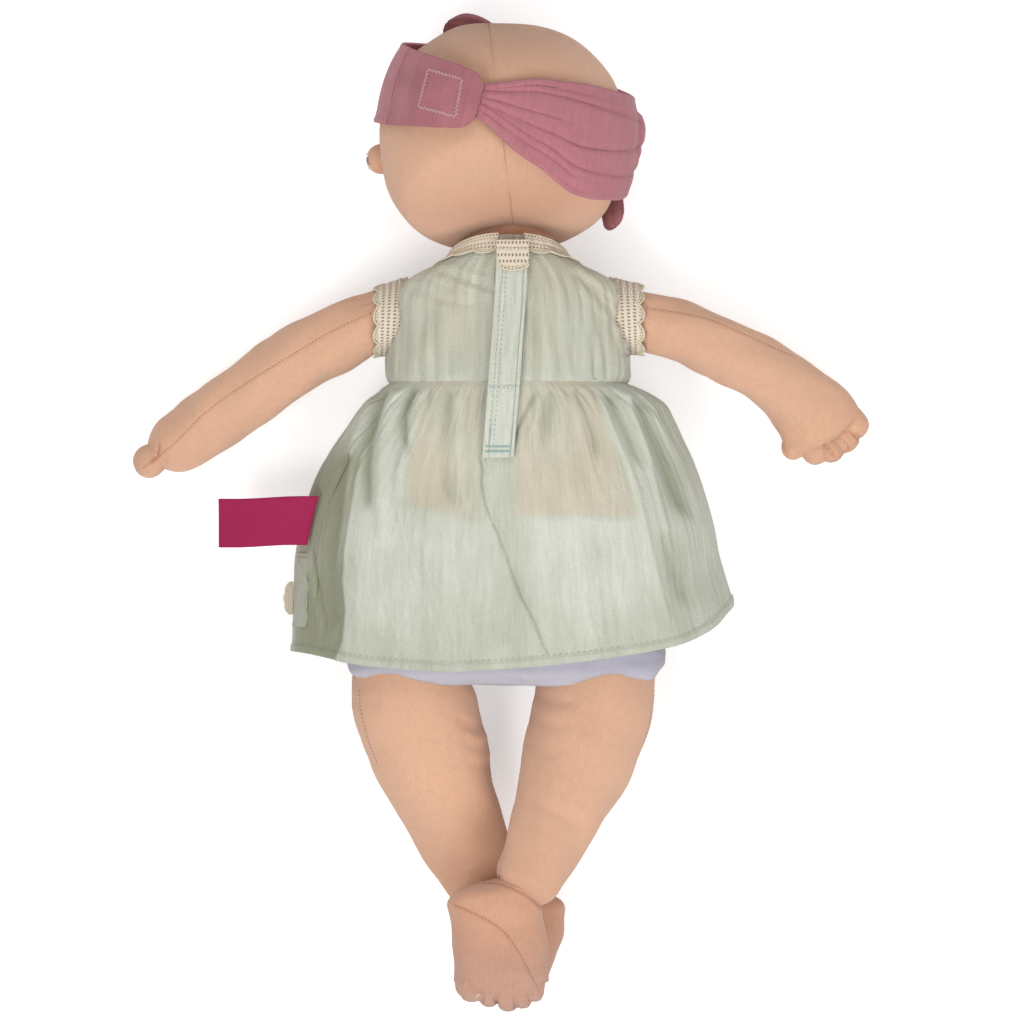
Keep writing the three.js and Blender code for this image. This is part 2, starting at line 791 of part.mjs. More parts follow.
// Nappy: padded cloth round the bottom and the tops of the legs
const nappyForm = {
  x: HIP_X,
  z: NAPPY_Z,
  width: NAPPY_WIDTH,
  depth: NAPPY_DEPTH,
  bottomY: NAPPY_BOTTOM_Y,
  topY: NAPPY_TOP_Y,
  power: 2.6,
  rowShares: [
    [0, 0.9, -0.01, 0.62, 0],
    [0.05, 0.965, -0.01, 0.82, 0],
    [0.15, 1, 0, 0.95, 0],
    [0.35, 0.99, 0, 1, 0],
    [0.6, 0.92, 0, 1, 0],
    [0.85, 0.84, 0, 1.02, 0],
    [1, 0.8, 0, 1.03, 0],
  ],
  stopShares: [0, 0.04, 0.12, 0.3, 0.55, 0.8, 1],
};

function nappy() {
  const inner = barrel(torsoForm, { inset: -2 * CLOTH_GAP });
  const legs = ["left", "right"].map((name) => legSolid(name, CLOTH_GAP));
  return cutBy(barrel(nappyForm), inner, ...legs);
}

// Bodice: a cloth shell from the waist to the neck, in one front and two backs
const bodiceForm = {
  x: SPINE_X,
  z: WAIST_Z,
  width: BODICE_WIDTH,
  depth: BODICE_DEPTH,
  bottomY: WAIST_Y,
  topY: WAIST_Y + BODICE_HEIGHT,
  power: 2.2,
  rowShares: [
    [0, 1, 0, 1, 0],
    [0.25, 1, 0, 0.99, 0],
    [0.5, 0.985, 0, 0.965, 0.02],
    [0.7, 0.965, 0.012, 0.92, 0.07],
    [0.83, 0.86, 0.035, 0.85, 0.16],
    [0.91, 0.63, 0.06, 0.78, 0.3],
    [0.95, 0.53, 0.07, 0.74, 0.38],
    [1, 0.48, 0.08, 0.7, 0.46],
  ],
  frontLeanShare: 0.4,
  stopShares: [0, 0.25, 0.5, 0.68, 0.77, 0.84, 0.9, 0.95, 1],
};

function bodiceShell() {
  const shell = cutBy(barrel(bodiceForm), barrel(bodiceForm, { inset: CLOTH, overrun: OVERRUN }));
  return cutBy(shell, ...[-1, 1].map((side) => ball(shoulderCentre(side), ARMHOLE_RADIUS)));
}

function bodicePanels() {
  const shell = bodiceShell();
  const far = SKIRT_WIDTH;
  const half = CLOTH_GAP / 2;
  const below = box(point(-far, -far, -far), point(far, far, WAIST_Z - half));
  const above = (from, to) => box(point(from, -far, WAIST_Z + half), point(to, far, far));
  const opening = PLACKET_X;
  return {
    front: shell.intersect(below),
    backLeft: shell.intersect(above(-far, opening - half)),
    backRight: shell.intersect(above(opening + half, far)),
  };
}

// Skirt: a gathered tube that lies on the floor in front and over the nappy behind
// place, half width right, half width left, seam height, back height, back power, front power
const skirtRowShares = [
  [0, 0.545, 0.545, 0.535, 1.05, 2.2, 2.2],
  [0.09, 0.7, 0.665, 0.5, 1.045, 2.2, 2.6],
  [0.17, 0.75, 0.735, 0.44, 1.03, 2.3, 3],
  [0.26, 0.793, 0.82, 0.36, 1.01, 2.4, 3.4],
  [0.35, 0.836, 0.878, 0.28, 1, 2.5, 3.8],
  [0.5, 0.89, 0.935, 0.19, 1, 2.6, 4],
  [0.65, 0.932, 0.97, 0.15, 1, 2.6, 4],
  [0.8, 0.96, 0.975, 0.12, 1, 2.6, 4],
  [1, 1.02, 0.985, 0.1, 0.98, 2.6, 4],
];

// angle in degrees, length of the skirt there
const hemShares = [
  [0, 0.757],
  [20, 0.8],
  [35, 0.866],
  [48, 0.915],
  [66, 0.955],
  [85, 0.985],
  [105, 1],
  [125, 0.985],
  [148, 0.945],
  [180, 0.935],
  [205, 0.935],
  [225, 0.945],
  [245, 0.97],
  [270, 0.985],
  [300, 0.925],
  [315, 0.865],
  [330, 0.8],
  [345, 0.765],
  [360, 0.757],
];

function rippleAt(angle, share, folds) {
  const wave = 0.5 - 0.5 * Math.cos(folds * 2 * angle);
  const uneven = 1 - RIPPLE_UNEVEN_SHARE * (1 - Math.sin(3 * angle + 1));
  const grown = THREE.MathUtils.smoothstep(share, RIPPLE_START_SHARE, 1);
  return SKIRT_RIPPLE * wave * uneven * grown;
}

function skirtLength(angle) {
  return SKIRT_LENGTH * sharesAt(hemShares, THREE.MathUtils.radToDeg(angle))[0];
}

// A point of the skirt: angle 0 is the doll's right seam, a quarter turn the middle of the back
function skirtPoint(angle, share, inset) {
  const [right, left, seam, back, backPower, frontPower] = sharesAt(skirtRowShares, share);
  const isBack = Math.sin(angle) >= 0;
  const seamZ = seam * SKIRT_BACK_HEIGHT;
  const height = isBack ? back * SKIRT_BACK_HEIGHT - seamZ : seamZ + FLOOR_FLAT;
  const ripple = rippleAt(angle, share, isBack ? BACK_FOLDS : FRONT_FOLDS);
  const [x, z] = oval(
    angle,
    ((Math.cos(angle) > 0 ? right : left) * SKIRT_WIDTH) / 2 - inset,
    height + (isBack ? ripple : 0) - inset,
    isBack ? backPower : frontPower,
  );
  return point(
    SPINE_X + x,
    WAIST_Y - CLOTH_GAP - share * skirtLength(angle),
    Math.max(seamZ + z, inset),
  );
}

// A point of the skirt's cloth at a height on the doll, lifted off its outer face
function onSkirt(angle, y, lift) {
  const place = skirtPoint(angle, (WAIST_Y - CLOTH_GAP - y) / skirtLength(angle), -lift);
  return point(place.x, y, place.z);
}

function skirtPanel(fromAngle, toAngle, columns) {
  const seamGap = CLOTH_GAP / SKIRT_WIDTH;
  return sheet(columns, 8, (u, v, side) =>
    skirtPoint(mix(fromAngle + seamGap, toAngle - seamGap, u), v, side * CLOTH),
  );
}

const LEFT_SEAM_ANGLE = degrees(148);
const skirtBack = () => skirtPanel(0, LEFT_SEAM_ANGLE, 32);
const skirtFront = () => skirtPanel(LEFT_SEAM_ANGLE, TURN, 34);

// Height of the dress's back above the floor
function dressBack(x, y) {
  if (y >= WAIST_Y) {
    return barrelTop(bodiceForm, x, y);
  }
  const share = (WAIST_Y - y) / SKIRT_LENGTH;
  const [right, left, seam, back, power] = sharesAt(skirtRowShares, share);
  const width = x > SPINE_X ? right : left;
  const across = Math.min(Math.abs((x - SPINE_X) / ((width * SKIRT_WIDTH) / 2)), 1);
  const seamZ = seam * SKIRT_BACK_HEIGHT;
  return seamZ + (back * SKIRT_BACK_HEIGHT - seamZ) * (1 - across ** power) ** (1 / power);
}

// Closing of the dress: a free strip over the middle of the back, held by two tapes
function backStrip(width, fromShare, toShare, lift, thickness, rows = STRIP_ROWS) {
  const top = WAIST_Y + BODICE_HEIGHT;
  return sheet(2, rows, (u, v, side) => {
    const share = mix(fromShare, toShare, v);
    const y = top - share * PLACKET_LENGTH;
    const x = PLACKET_X + (0.5 - share) * PLACKET_LEAN_X + (u - 0.5) * width;
    const lean = sharesAt(bodiceForm.rowShares, (y - WAIST_Y) / BODICE_HEIGHT)[3];
    const highest = Math.max(dressBack(x, y), dressBack(PLACKET_X, y));
    const rise = Math.max(lean, 0) * BODICE_DEPTH * STRIP_RISE_SHARE;
    return point(x, y + rise, highest + lift + (1 - side) * thickness);
  });
}

const tapeLift = CLOTH_GAP;
const hookLift = tapeLift + TAPE + CLOTH_GAP;
const placketLift = hookLift + TAPE + CLOTH_GAP;
const placket = () => backStrip(PLACKET_WIDTH, PLACKET_TOP_SHARE, 1, placketLift, CLOTH);
const hookTape = () => backStrip(TAPE_WIDTH, ...tapeSpanShares, hookLift, TAPE);
const loopTape = () => backStrip(TAPE_WIDTH, ...tapeSpanShares, tapeLift, TAPE);

// Crochet lace with scalloped edges
function scallop(share, count) {
  return 1 - SCALLOP_SHARE * (0.5 + 0.5 * Math.cos(count * TURN * share));
}

// A point of the bodice's outer face, at a distance below the neckline, lifted off the cloth
function onBodice(angle, distance, lift) {
  const places = (share) => barrelRing(bodiceForm, share, -lift, 1, angle)[0];
  const neckline = places(1);
  let low = 0;
  let high = 1;
  for (let k = 0; k < HALVINGS; k += 1) {
    const middle = (low + high) / 2;
    [low, high] = places(middle).distanceTo(neckline) > distance ? [middle, high] : [low, middle];
  }
  return places(high);
}

function collarLace() {
  const from = QUARTER - COLLAR_OPEN_RIGHT;
  const to = QUARTER + COLLAR_OPEN_LEFT - TURN;
  return sheet(COLLAR_SCALLOPS * 2, 2, (u, v, side) => {
    const distance = CLOTH_GAP + v * COLLAR_LACE_WIDTH * scallop(u, COLLAR_SCALLOPS);
    return onBodice(mix(from, to, u), distance, COLLAR_LACE_LIFT + (1 - side) * LACE);
  });
}

const placketLaceLift = placketLift + CLOTH + CLOTH_GAP;
const placketLace = () =>
  backStrip(PLACKET_WIDTH, PLACKET_TOP_SHARE, PLACKET_LACE_SHARE, placketLaceLift, LACE, 2);

function armholeLace(name) {
  const form = armForms[name];
  const centre = shoulderCentre(form.side);
  const outwards = point(...form.spineShares[1]).normalize();
  return sheet(ARMHOLE_SCALLOPS * 2, 1, (u, v, layer) => {
    const angle = u * TURN;
    const edge = ARMHOLE_RADIUS - 2 * CLOTH_GAP;
    const inwards = (1 - v) * (ARMHOLE_LACE_START + ARMHOLE_LACE_TOP * Math.cos(angle));
    const reach = Math.sqrt(edge * edge - inwards * inwards) - LACE * layer - v * ARMHOLE_LACE_FALL;
    const out = v * ARMHOLE_LACE_WIDTH * scallop(u, ARMHOLE_SCALLOPS);
    return point(
      centre.x - form.side * inwards,
      centre.y + Math.cos(angle) * reach,
      centre.z + Math.sin(angle) * reach,
    ).addScaledVector(outwards, out);
  }, true);
}

// Ribbon loop sewn into the left side seam
function ribbonTag() {
  return sheet(2, 5, (u, v, side) => {
    const angle = LEFT_SEAM_ANGLE + TAG_TURN;
    const root = onSkirt(angle, TAG_Y + (u - 0.5) * TAG_WIDTH, CLOTH_GAP);
    const end = onSkirt(angle, TAG_Y, CLOTH_GAP).x - TAG_LENGTH;
    return point(
      mix(root.x, end, v),
      root.y - v * TAG_WIDTH * TAG_SLANT_SHARE,
      root.z + (1 - side) * TAG_THICKNESS - v * v * TAG_DROOP,
    );
  });
}

// Pocket on the left flank of the front panel, with lace along its outer edge
function pocket() {
  return sheet(5, 3, (u, v, side) => {
    const angle = mix(POCKET_ANGLE_FROM, POCKET_ANGLE_TO, u);
    const y = POCKET_Y - v * POCKET_LENGTH;
    return onSkirt(angle, y, CLOTH_GAP + (1 - side) * CLOTH);
  });
}

function pocketLace() {
  return sheet(POCKET_SCALLOPS * 4, 1, (u, v, side) => {
    const y = POCKET_Y - mix(...pocketLaceSpanShares, u) * POCKET_LENGTH;
    const root = onSkirt(POCKET_ANGLE_TO + POCKET_LACE_TURN, y, CLOTH_GAP);
    const out = v * POCKET_LACE_WIDTH * scallop(u, POCKET_SCALLOPS);
    const height = root.z + side * LACE - out * POCKET_LACE_DROOP_SHARE;
    return point(root.x - out, y, height);
  });
}

// Headband: a wide gauze band, measured in turns round its own tilted axis
const bandAxis = point(Math.sin(BAND_TILT), Math.cos(BAND_TILT), 0);
const bandRight = point(Math.cos(BAND_TILT), -Math.sin(BAND_TILT), 0);
const earCentres = ["left", "right"].map((name) => headSurface(earDirections[name]));

function insideHead(place) {
  const from = place.clone().sub(headCentre);
  const inEar = ["left", "right"].some((name, k) => {
    const away = place.clone().sub(earCentres[k]);
    const out = away.dot(earDirections[name]) / (earReaches[name] + BAND_GAP / 2);
    const flat = away.clone().addScaledVector(earDirections[name], -away.dot(earDirections[name]));
    return Math.hypot(out, flat.length() / (EAR_LENGTH / 2 + BAND_GAP)) < 1;
  });
  return inEar || from.length() < headReach(from.clone().normalize());
}

function bandPlace(turn, height, reach) {
  return headCentre
    .clone()
    .addScaledVector(bandAxis, height)
    .addScaledVector(bandRight, Math.sin(turn) * reach)
    .addScaledVector(UP, Math.cos(turn) * reach);
}

function reachAt(turn, height) {
  let outer = HEAD_WIDTH;
  let inner = 0;
  for (const k of steps(SEARCH_STEPS)) {
    const reach = HEAD_WIDTH * (1 - (k + 1) / SEARCH_STEPS);
    if (insideHead(bandPlace(turn, height, reach))) {
      inner = reach;
      outer = reach + HEAD_WIDTH / SEARCH_STEPS;
      break;
    }
  }
  for (let k = 0; inner > 0 && k < HALVINGS; k += 1) {
    const middle = (inner + outer) / 2;
    [inner, outer] = insideHead(bandPlace(turn, height, middle)) ? [middle, outer] : [inner, middle];
  }
  return inner;
}

// The head's reach at a height or anywhere above it, so that the band can slide off the crown
function clearReach(turn, height) {
  const heights = steps(CLEAR_STEPS).map((k) => mix(height, HEAD_HEIGHT / 2, k / CLEAR_STEPS));
  return Math.max(...heights.map((above) => reachAt(turn, above)));
}

const onBand = (turn, height, lift) => bandPlace(turn, height, clearReach(turn, height) + lift);

// turn in degrees, lower edge, upper edge, both as shares of the head's height
const bandEdgeShares = [
  [-32, 0.055, 0.18],
  [-14, 0.055, 0.185],
  [10, -0.06, 0.26],
  [25, -0.11, 0.28],
  [40, -0.17, 0.295],
  [65, -0.15, 0.3],
  [90, -0.1, 0.305],
  [120, -0.02, 0.335],
  [150, 0.08, 0.37],
  [180, 0.13, 0.38],
  [210, 0.1, 0.36],
  [240, 0.02, 0.325],
  [270, -0.055, 0.295],
  [297, -0.07, 0.27],
];
const tabEdgeShares = [
  [-62, -0.07, 0.27],
  [-40, -0.055, 0.25],
  [-25, -0.03, 0.235],
  [-18, -0.01, 0.22],
  [-14, 0.03, 0.18],
];

function bandSheet(edges, liftAt, thickness, columns, rows) {
  return sheet(columns, rows, (u, v, side) => {
    const turn = mix(edges[0][0], edges.at(-1)[0], u);
    const [lower, upper] = sharesAt(edges, turn);
    const height = mix(lower, upper, v) * HEAD_HEIGHT;
    return onBand(degrees(turn), height, liftAt(turn, v) + (1 - side) * thickness);
  });
}

const overBand = BAND_GAP + BAND_CLOTH + CLOTH_GAP;
const overLoopTape = overBand + TAPE + CLOTH_GAP;
const overHookTape = overLoopTape + TAPE + CLOTH_GAP;

// Full at the band's upper edge, where across is 1
function bandStand(turn, across) {
  const rise = THREE.MathUtils.smoothstep(turn, ...bandStandTurns);
  const calm = 1 - THREE.MathUtils.smoothstep(turn, ...bandCalmTurns);
  return BAND_STAND * rise * calm * mix(BAND_LOW_STAND_SHARE, 1, across);
}

function bandLift(turn, across) {
  const flare = THREE.MathUtils.smoothstep(turn, ...bandFlareTurns);
  return BAND_GAP + bandStand(turn, across) + BAND_FLARE * flare * across * across;
}

function tabLift(turn, across) {
  const share = THREE.MathUtils.smoothstep(turn, ...tabRiseTurns);
  const flare = 1 - THREE.MathUtils.smoothstep(turn, ...tabFlareTurns);
  return mix(BAND_GAP, overHookTape, share) + BAND_FLARE * flare * across * across;
}

const headband = () => bandSheet(bandEdgeShares, bandLift, BAND_CLOTH, 40, 4);
const headbandTab = () => bandSheet(tabEdgeShares, tabLift, CLOTH, 8, 4);

function bandTape(lift) {
  return sheet(4, 3, (u, v, side) => {
    const across = (v - 0.5) * BAND_TAPE_WIDTH * BAND_TAPE_DEPTH_SHARE;
    const turn = BAND_TAPE_MIDDLE + (u - 0.5) * BAND_TAPE_TURN;
    const height = HEAD_HEIGHT * BAND_TAPE_HEIGHT_SHARE + across;
    return onBand(turn, height, lift + (1 - side) * TAPE);
  });
}

const knotHeight = HEAD_HEIGHT * KNOT_HEIGHT_SHARE;
const knotCentre = onBand(Math.PI, knotHeight, overBand + CLOTH_GAP + KNOT_DEPTH / 2);
const bandOffset = (right, height, back) =>
  knotCentre
    .clone()
    .addScaledVector(bandRight, right * HEAD_WIDTH)
    .addScaledVector(bandAxis, height * HEAD_HEIGHT)
    .addScaledVector(UP, back * HEAD_DEPTH);

function knotForm(grow = 0) {
  const out = knotCentre.clone().sub(headCentre).normalize();
  return button(
    knotCentre,
    out,
    bandAxis,
    KNOT_DEPTH / 2 + grow,
    KNOT_WIDTH / 2 + grow,
    KNOT_WIDTH / 2 + grow,
    BALL_AROUND,
  );
}

function bowEar() {
  const spineShares = [
    [-0.04, 0.02, 0],
    [-0.16, 0.1, 0.075],
    [-0.26, 0.145, 0.18],
    [-0.335, 0.15, 0.3],
  ];
  const form = {
    spine: spineShares.map((shares) => bandOffset(...shares)),
    up: point(0, 0.45, -0.9),
    width: BOW_EAR_WIDTH,
    depth: BOW_EAR_DEPTH,
    sizeShares: [
      [0, 0.5, 0.9],
      [0.5, 1, 1],
      [1, 0.62, 0.8],
    ],
    startCap: BOW_EAR_DEPTH,
    endCap: BOW_EAR_DEPTH * BOW_CAP_SHARE,
    middleSteps: 5,
    capSteps: 2,
    around: BOW_AROUND,
  };
  return cutBy(limb(form), knotForm(CLOTH_GAP));
}

function bowTail() {
  // turn in degrees, height and lift off the band as shares of the head's height and the tail's depth
  const stopShares = [
    [172, 0.24, 0.5],
    [155, 0.17, 0.5],
    [138, 0.03, 0.5],
    [122, -0.13, 0.4],
    [107, -0.25, 0],
  ];
  const form = {
    spine: stopShares.map(([turn, height, lift]) =>
      onBand(
        degrees(turn),
        height * HEAD_HEIGHT,
        overBand + bandStand(turn, TAIL_ACROSS_SHARE) + lift * BOW_TAIL_DEPTH,
      ),
    ),
    up: point(0.5, 0, -0.87),
    width: BOW_TAIL_WIDTH,
    depth: BOW_TAIL_DEPTH,
    sizeShares: [
      [0, 0.8, 0.9],
      [0.6, 1, 1],
      [1, 0.85, 0.9],
    ],
    startCap: BOW_TAIL_DEPTH,
    endCap: BOW_TAIL_DEPTH * BOW_CAP_SHARE,
    middleSteps: 6,
    capSteps: 2,
    around: BOW_AROUND,
  };
  return cutBy(limb(form), knotForm(CLOTH_GAP), headForm(CLOTH_GAP), headband());
}

// Finishes
function finish(red, green, blue, roughness) {
  const color = new THREE.Color().setRGB(red / 255, green / 255, blue / 255, THREE.SRGBColorSpace);
  return new THREE.MeshStandardMaterial({ color, roughness, metalness: 0 });
}

const skin = () => finish(216, 171, 142, 0.9);
const skinStitch = () => finish(196, 138, 112, 0.9);
const mauve = () => finish(181, 119, 126, 0.95);
const sage = () => finish(205, 207, 193, 0.95);
const cream = () => finish(221, 208, 186, 0.95);
const white = () => finish(208, 207, 208, 0.95);
const magenta = () => finish(171, 44, 90, 0.6);
const tapeWhite = () => finish(224, 224, 220, 0.8);
const lip = () => finish(196, 112, 108, 0.85);
const lash = () => finish(96, 66, 52, 0.85);

const doll = new THREE.Group();

function add(name, solid, material) {
  const mesh = solid.getMesh();
  const geometry = new THREE.BufferGeometry();
  geometry.setAttribute("position", new THREE.Float32BufferAttribute(mesh.vertProperties, 3));
  geometry.setIndex(Array.from(mesh.triVerts));
  const piece = new THREE.Mesh(geometry, material);
  piece.name = name;
  doll.add(piece);
}

add("head", head(), skin());
add("neck", neck(), skin());
add("ear_left", ear("left"), skin());
add("ear_right", ear("right"), skin());
add("nose", nose(), skinStitch());
add("eye_left", eye(-1), lash());
add("eye_right", eye(1), lash());
add("mouth", mouth(), lip());
add("torso", torso(), skin());
for (const name of ["left", "right"]) {
  add(`shoulder_tab_${name}`, shoulderTab(armForms[name].side), skin());
  add(`arm_${name}`, arm(name), skin());
  add(`hip_tab_${name}`, hipTab(legForms[name].side), skin());
  add(`leg_${name}`, leg(name), skin());
  add(`foot_${name}`, foot(name), skin());
  add(`armhole_lace_${name}`, armholeLace(name), cream());
}
add("nappy", nappy(), white());

const panels = bodicePanels();
add("bodice_front", panels.front, sage());
add("bodice_back_left", panels.backLeft, sage());
add("bodice_back_right", panels.backRight, sage());
add("skirt_front", skirtFront(), sage());
add("skirt_back", skirtBack(), sage());
add("placket", placket(), sage());
add("hook_tape", hookTape(), tapeWhite());
add("loop_tape", loopTape(), tapeWhite());
add("collar_lace", collarLace(), cream());
add("placket_lace", placketLace(), cream());
add("ribbon_tag", ribbonTag(), magenta());
add("pocket", pocket(), sage());
add("pocket_lace", pocketLace(), cream());

add("headband", headband(), mauve());
add("headband_tab", headbandTab(), mauve());
add("headband_loop_tape", bandTape(overBand), tapeWhite());
add("headband_hook_tape", bandTape(overLoopTape), tapeWhite());
add("bow_knot", knotForm(), mauve());
add("bow_ear", bowEar(), mauve());
add("bow_tail", bowTail(), mauve());

export default doll;
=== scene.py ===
# %% [markdown]
# A soft baby doll lies face down: jersey skin over stuffing, a gauze dress, a nappy and a knotted
# headband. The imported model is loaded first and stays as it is. It could be redrawn from scratch,
# but every new piece here stands where its solid stands, so that both fit at every pose.

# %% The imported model
import math

import bpy
import numpy as np
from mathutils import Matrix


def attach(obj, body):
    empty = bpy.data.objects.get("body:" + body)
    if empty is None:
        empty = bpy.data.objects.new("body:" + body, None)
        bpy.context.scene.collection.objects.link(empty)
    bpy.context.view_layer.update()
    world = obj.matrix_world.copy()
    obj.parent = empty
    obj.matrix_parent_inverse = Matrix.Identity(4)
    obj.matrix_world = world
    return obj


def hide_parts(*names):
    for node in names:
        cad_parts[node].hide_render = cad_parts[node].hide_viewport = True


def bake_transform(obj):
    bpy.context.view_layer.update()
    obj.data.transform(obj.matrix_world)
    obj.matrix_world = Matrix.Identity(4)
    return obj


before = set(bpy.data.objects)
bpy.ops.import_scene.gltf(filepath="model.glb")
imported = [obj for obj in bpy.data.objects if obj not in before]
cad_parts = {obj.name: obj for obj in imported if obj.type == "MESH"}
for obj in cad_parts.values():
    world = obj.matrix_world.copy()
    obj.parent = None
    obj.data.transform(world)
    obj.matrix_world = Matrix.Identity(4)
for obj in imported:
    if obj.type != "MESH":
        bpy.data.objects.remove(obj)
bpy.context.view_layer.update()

MM = 0.001
UP = np.array([0, 0, 1.0])
TAU = 2 * math.pi

# %% [markdown]
# The camera looks straight down on the doll's back, as the photograph does, from far enough away
# that near and far parts keep one scale. A close camera with a wide lens would swell the head.
# The floor is white to the camera but still takes the doll's soft shadow.

# %% Camera, floor and light
VIEW_WIDTH = 409.6 * MM
CAMERA_HEIGHT = 4.0
view_centre = (5.0 * MM, 0.0)
scene = bpy.context.scene
lens = bpy.data.cameras.new("view")
lens.sensor_width = 36.0
lens.lens = 36.0 * (CAMERA_HEIGHT - 35 * MM) / VIEW_WIDTH
lens.clip_end = 20.0
camera = bpy.data.objects.new("view", lens)
camera.location = (*view_centre, CAMERA_HEIGHT)
scene.collection.objects.link(camera)
scene.camera = camera
scene.view_settings.view_transform = "Standard"


def wire(tree, *links):
    """Joins sockets in pairs: the first of each pair feeds the second."""
    for source, target in links:
        tree.links.new(source, target)


def floor_material():
    """White for the camera's own rays, and a pale matt floor for all the light that falls on it."""
    made = bpy.data.materials.new("floor")
    made.use_nodes = True
    tree = made.node_tree
    base = tree.nodes["Principled BSDF"]
    base.inputs["Base Color"].default_value = (0.86, 0.86, 0.86, 1)
    base.inputs["Roughness"].default_value = 0.9
    path = tree.nodes.new("ShaderNodeLightPath")
    seen = tree.nodes.new("ShaderNodeMath")
    seen.operation = "MAXIMUM"
    lift = tree.nodes.new("ShaderNodeMath")
    lift.operation = "MULTIPLY"
    lift.inputs[1].default_value = 0.45
    wire(tree, (path.outputs["Is Camera Ray"], seen.inputs[0]))
    wire(tree, (path.outputs["Is Glossy Ray"], seen.inputs[1]))
    wire(tree, (seen.outputs[0], lift.inputs[0]), (lift.outputs[0], base.inputs["Emission Strength"]))
    base.inputs["Emission Color"].default_value = (1, 1, 1, 1)
    return made


floor_mesh = bpy.data.meshes.new("floor")
floor_mesh.from_pydata([(-3, -3, 0), (3, -3, 0), (3, 3, 0), (-3, 3, 0)], [], [(0, 1, 2, 3)])
floor_mesh.materials.append(floor_material())
floor = bpy.data.objects.new("floor", floor_mesh)
floor.location.z = -0.2 * MM
scene.collection.objects.link(floor)

world = bpy.data.worlds.new("room")
world.use_nodes = True
world.node_tree.nodes["Background"].inputs["Color"].default_value = (1, 1, 1, 1)
world.node_tree.nodes["Background"].inputs["Strength"].default_value = 0.38
scene.world = world
for name, place, size, power in [
    ("key", (-0.9, -0.8, 2.0), 0.9, 21),
    ("fill", (1.3, -0.8, 1.8), 1.6, 19),
    ("low", (0.4, -1.8, 1.4), 1.2, 8),
    ("crown", (0.1, 1.6, 1.7), 1.4, 11),
]:
    lamp = bpy.data.lights.new(name, "AREA")
    lamp.size = size
    lamp.energy = power
    light = bpy.data.objects.new(name, lamp)
    light.location = place
    light.rotation_mode = "QUATERNION"
    light.rotation_quaternion = (-light.location).to_track_quat("-Z", "Y")
    scene.collection.objects.link(light)
print("lens:", round(lens.lens, 1), "mm")

# %% [markdown]
# Every soft piece starts as a grid of points worked out by numpy: one direction runs along the
# piece and the other runs round or across it. Sculpting by hand could do it too, but a formula
# gives the same doll every time. These helpers turn such a grid into a mesh with its own map.

# %% From grids to meshes


def share_rows(table, place):
    """Reads a table: a smooth curve through its rows, each a place followed by its values."""
    table = np.asarray(table, float)
    x, y = table[:, 0], table[:, 1:]
    place = np.asarray(place, float)
    slope = np.gradient(y, x, axis=0) * 0
    slope[1:-1] = (y[2:] - y[:-2]) / (x[2:] - x[:-2])[:, None]
    slope[0], slope[-1] = (y[1] - y[0]) / (x[1] - x[0]), (y[-1] - y[-2]) / (x[-1] - x[-2])
    high = np.clip(np.searchsorted(x, place), 1, len(x) - 1)
    low = high - 1
    span = (x[high] - x[low])[..., None]
    t = np.clip((place - x[low]) / (x[high] - x[low]), 0, 1)[..., None]
    keep = t * t * (3 - 2 * t)
    leave = t * (1 - t) ** 2 * slope[low] * span
    arrive = t * t * (1 - t) * slope[high] * span
    return y[low] + (y[high] - y[low]) * keep + leave - arrive


def ease(value, start, end):
    """Rises smoothly from 0 to 1 as the value goes from start to end."""
    t = np.clip((value - start) / (end - start), 0, 1)
    return t * t * (3 - 2 * t)


def bump(value, middle, width):
    """A smooth hill of height 1 about a middle."""
    return np.exp(-(((value - middle) / width) ** 2))


def rough(x, y, seed, waves=7, low=0.5, high=2.0):
    """Soft irregular relief between about -1 and 1: a sum of sine waves in seeded directions."""
    rng = np.random.default_rng(seed)
    total = 0
    draws = rng.uniform(0, TAU, waves), rng.uniform(low, high, waves), rng.uniform(0, TAU, waves)
    for turn, length, shift in zip(*draws):
        total = total + np.sin(TAU * (x * math.cos(turn) + y * math.sin(turn)) / length + shift)
    return total / math.sqrt(waves)


def round_turns(count):
    """Even turns once round, without the last one, which is the first again."""
    return np.arange(count) / count * TAU


def oval_reach(c, s, power):
    """How far an oval of radius 1 reaches where the cosine is c and the sine s. A power of 2 is
    round, and a higher one is squarer."""
    return (np.abs(c) ** power + np.abs(s) ** power) ** (-1 / power)


def walked(path):
    """The distance walked from a path's start to each of its points."""
    return np.concatenate([[0], np.cumsum(np.linalg.norm(np.diff(path, axis=0), axis=1))])


def read_at(stops, steps, values):
    """Rows of values read off at stops, where the rows themselves stand at steps."""
    return np.stack([np.interp(stops, steps, column) for column in np.asarray(values).T], -1)


def unit(vectors):
    """Each vector scaled to length 1."""
    return vectors / np.maximum(np.linalg.norm(vectors, axis=-1, keepdims=True), 1e-12)


def grid_faces(rows, columns, closed):
    """Four-cornered faces between neighbouring points, in rows, wrapped round where closed."""
    across = columns if closed else columns - 1
    r, c = np.meshgrid(np.arange(rows - 1), np.arange(across), indexing="ij")
    after = (c + 1) % columns
    here, below = r * columns, (r + 1) * columns
    return np.stack([here + c, here + after, below + after, below + c], -1).reshape(-1, 4)


def grid_normals(grid, closed):
    """The outward direction at each grid point, from the steps along its row and its column."""
    if closed:
        across = np.roll(grid, -1, 1) - np.roll(grid, 1, 1)
    else:
        across = np.gradient(grid, axis=1)
    return unit(np.cross(across, np.gradient(grid, axis=0)))


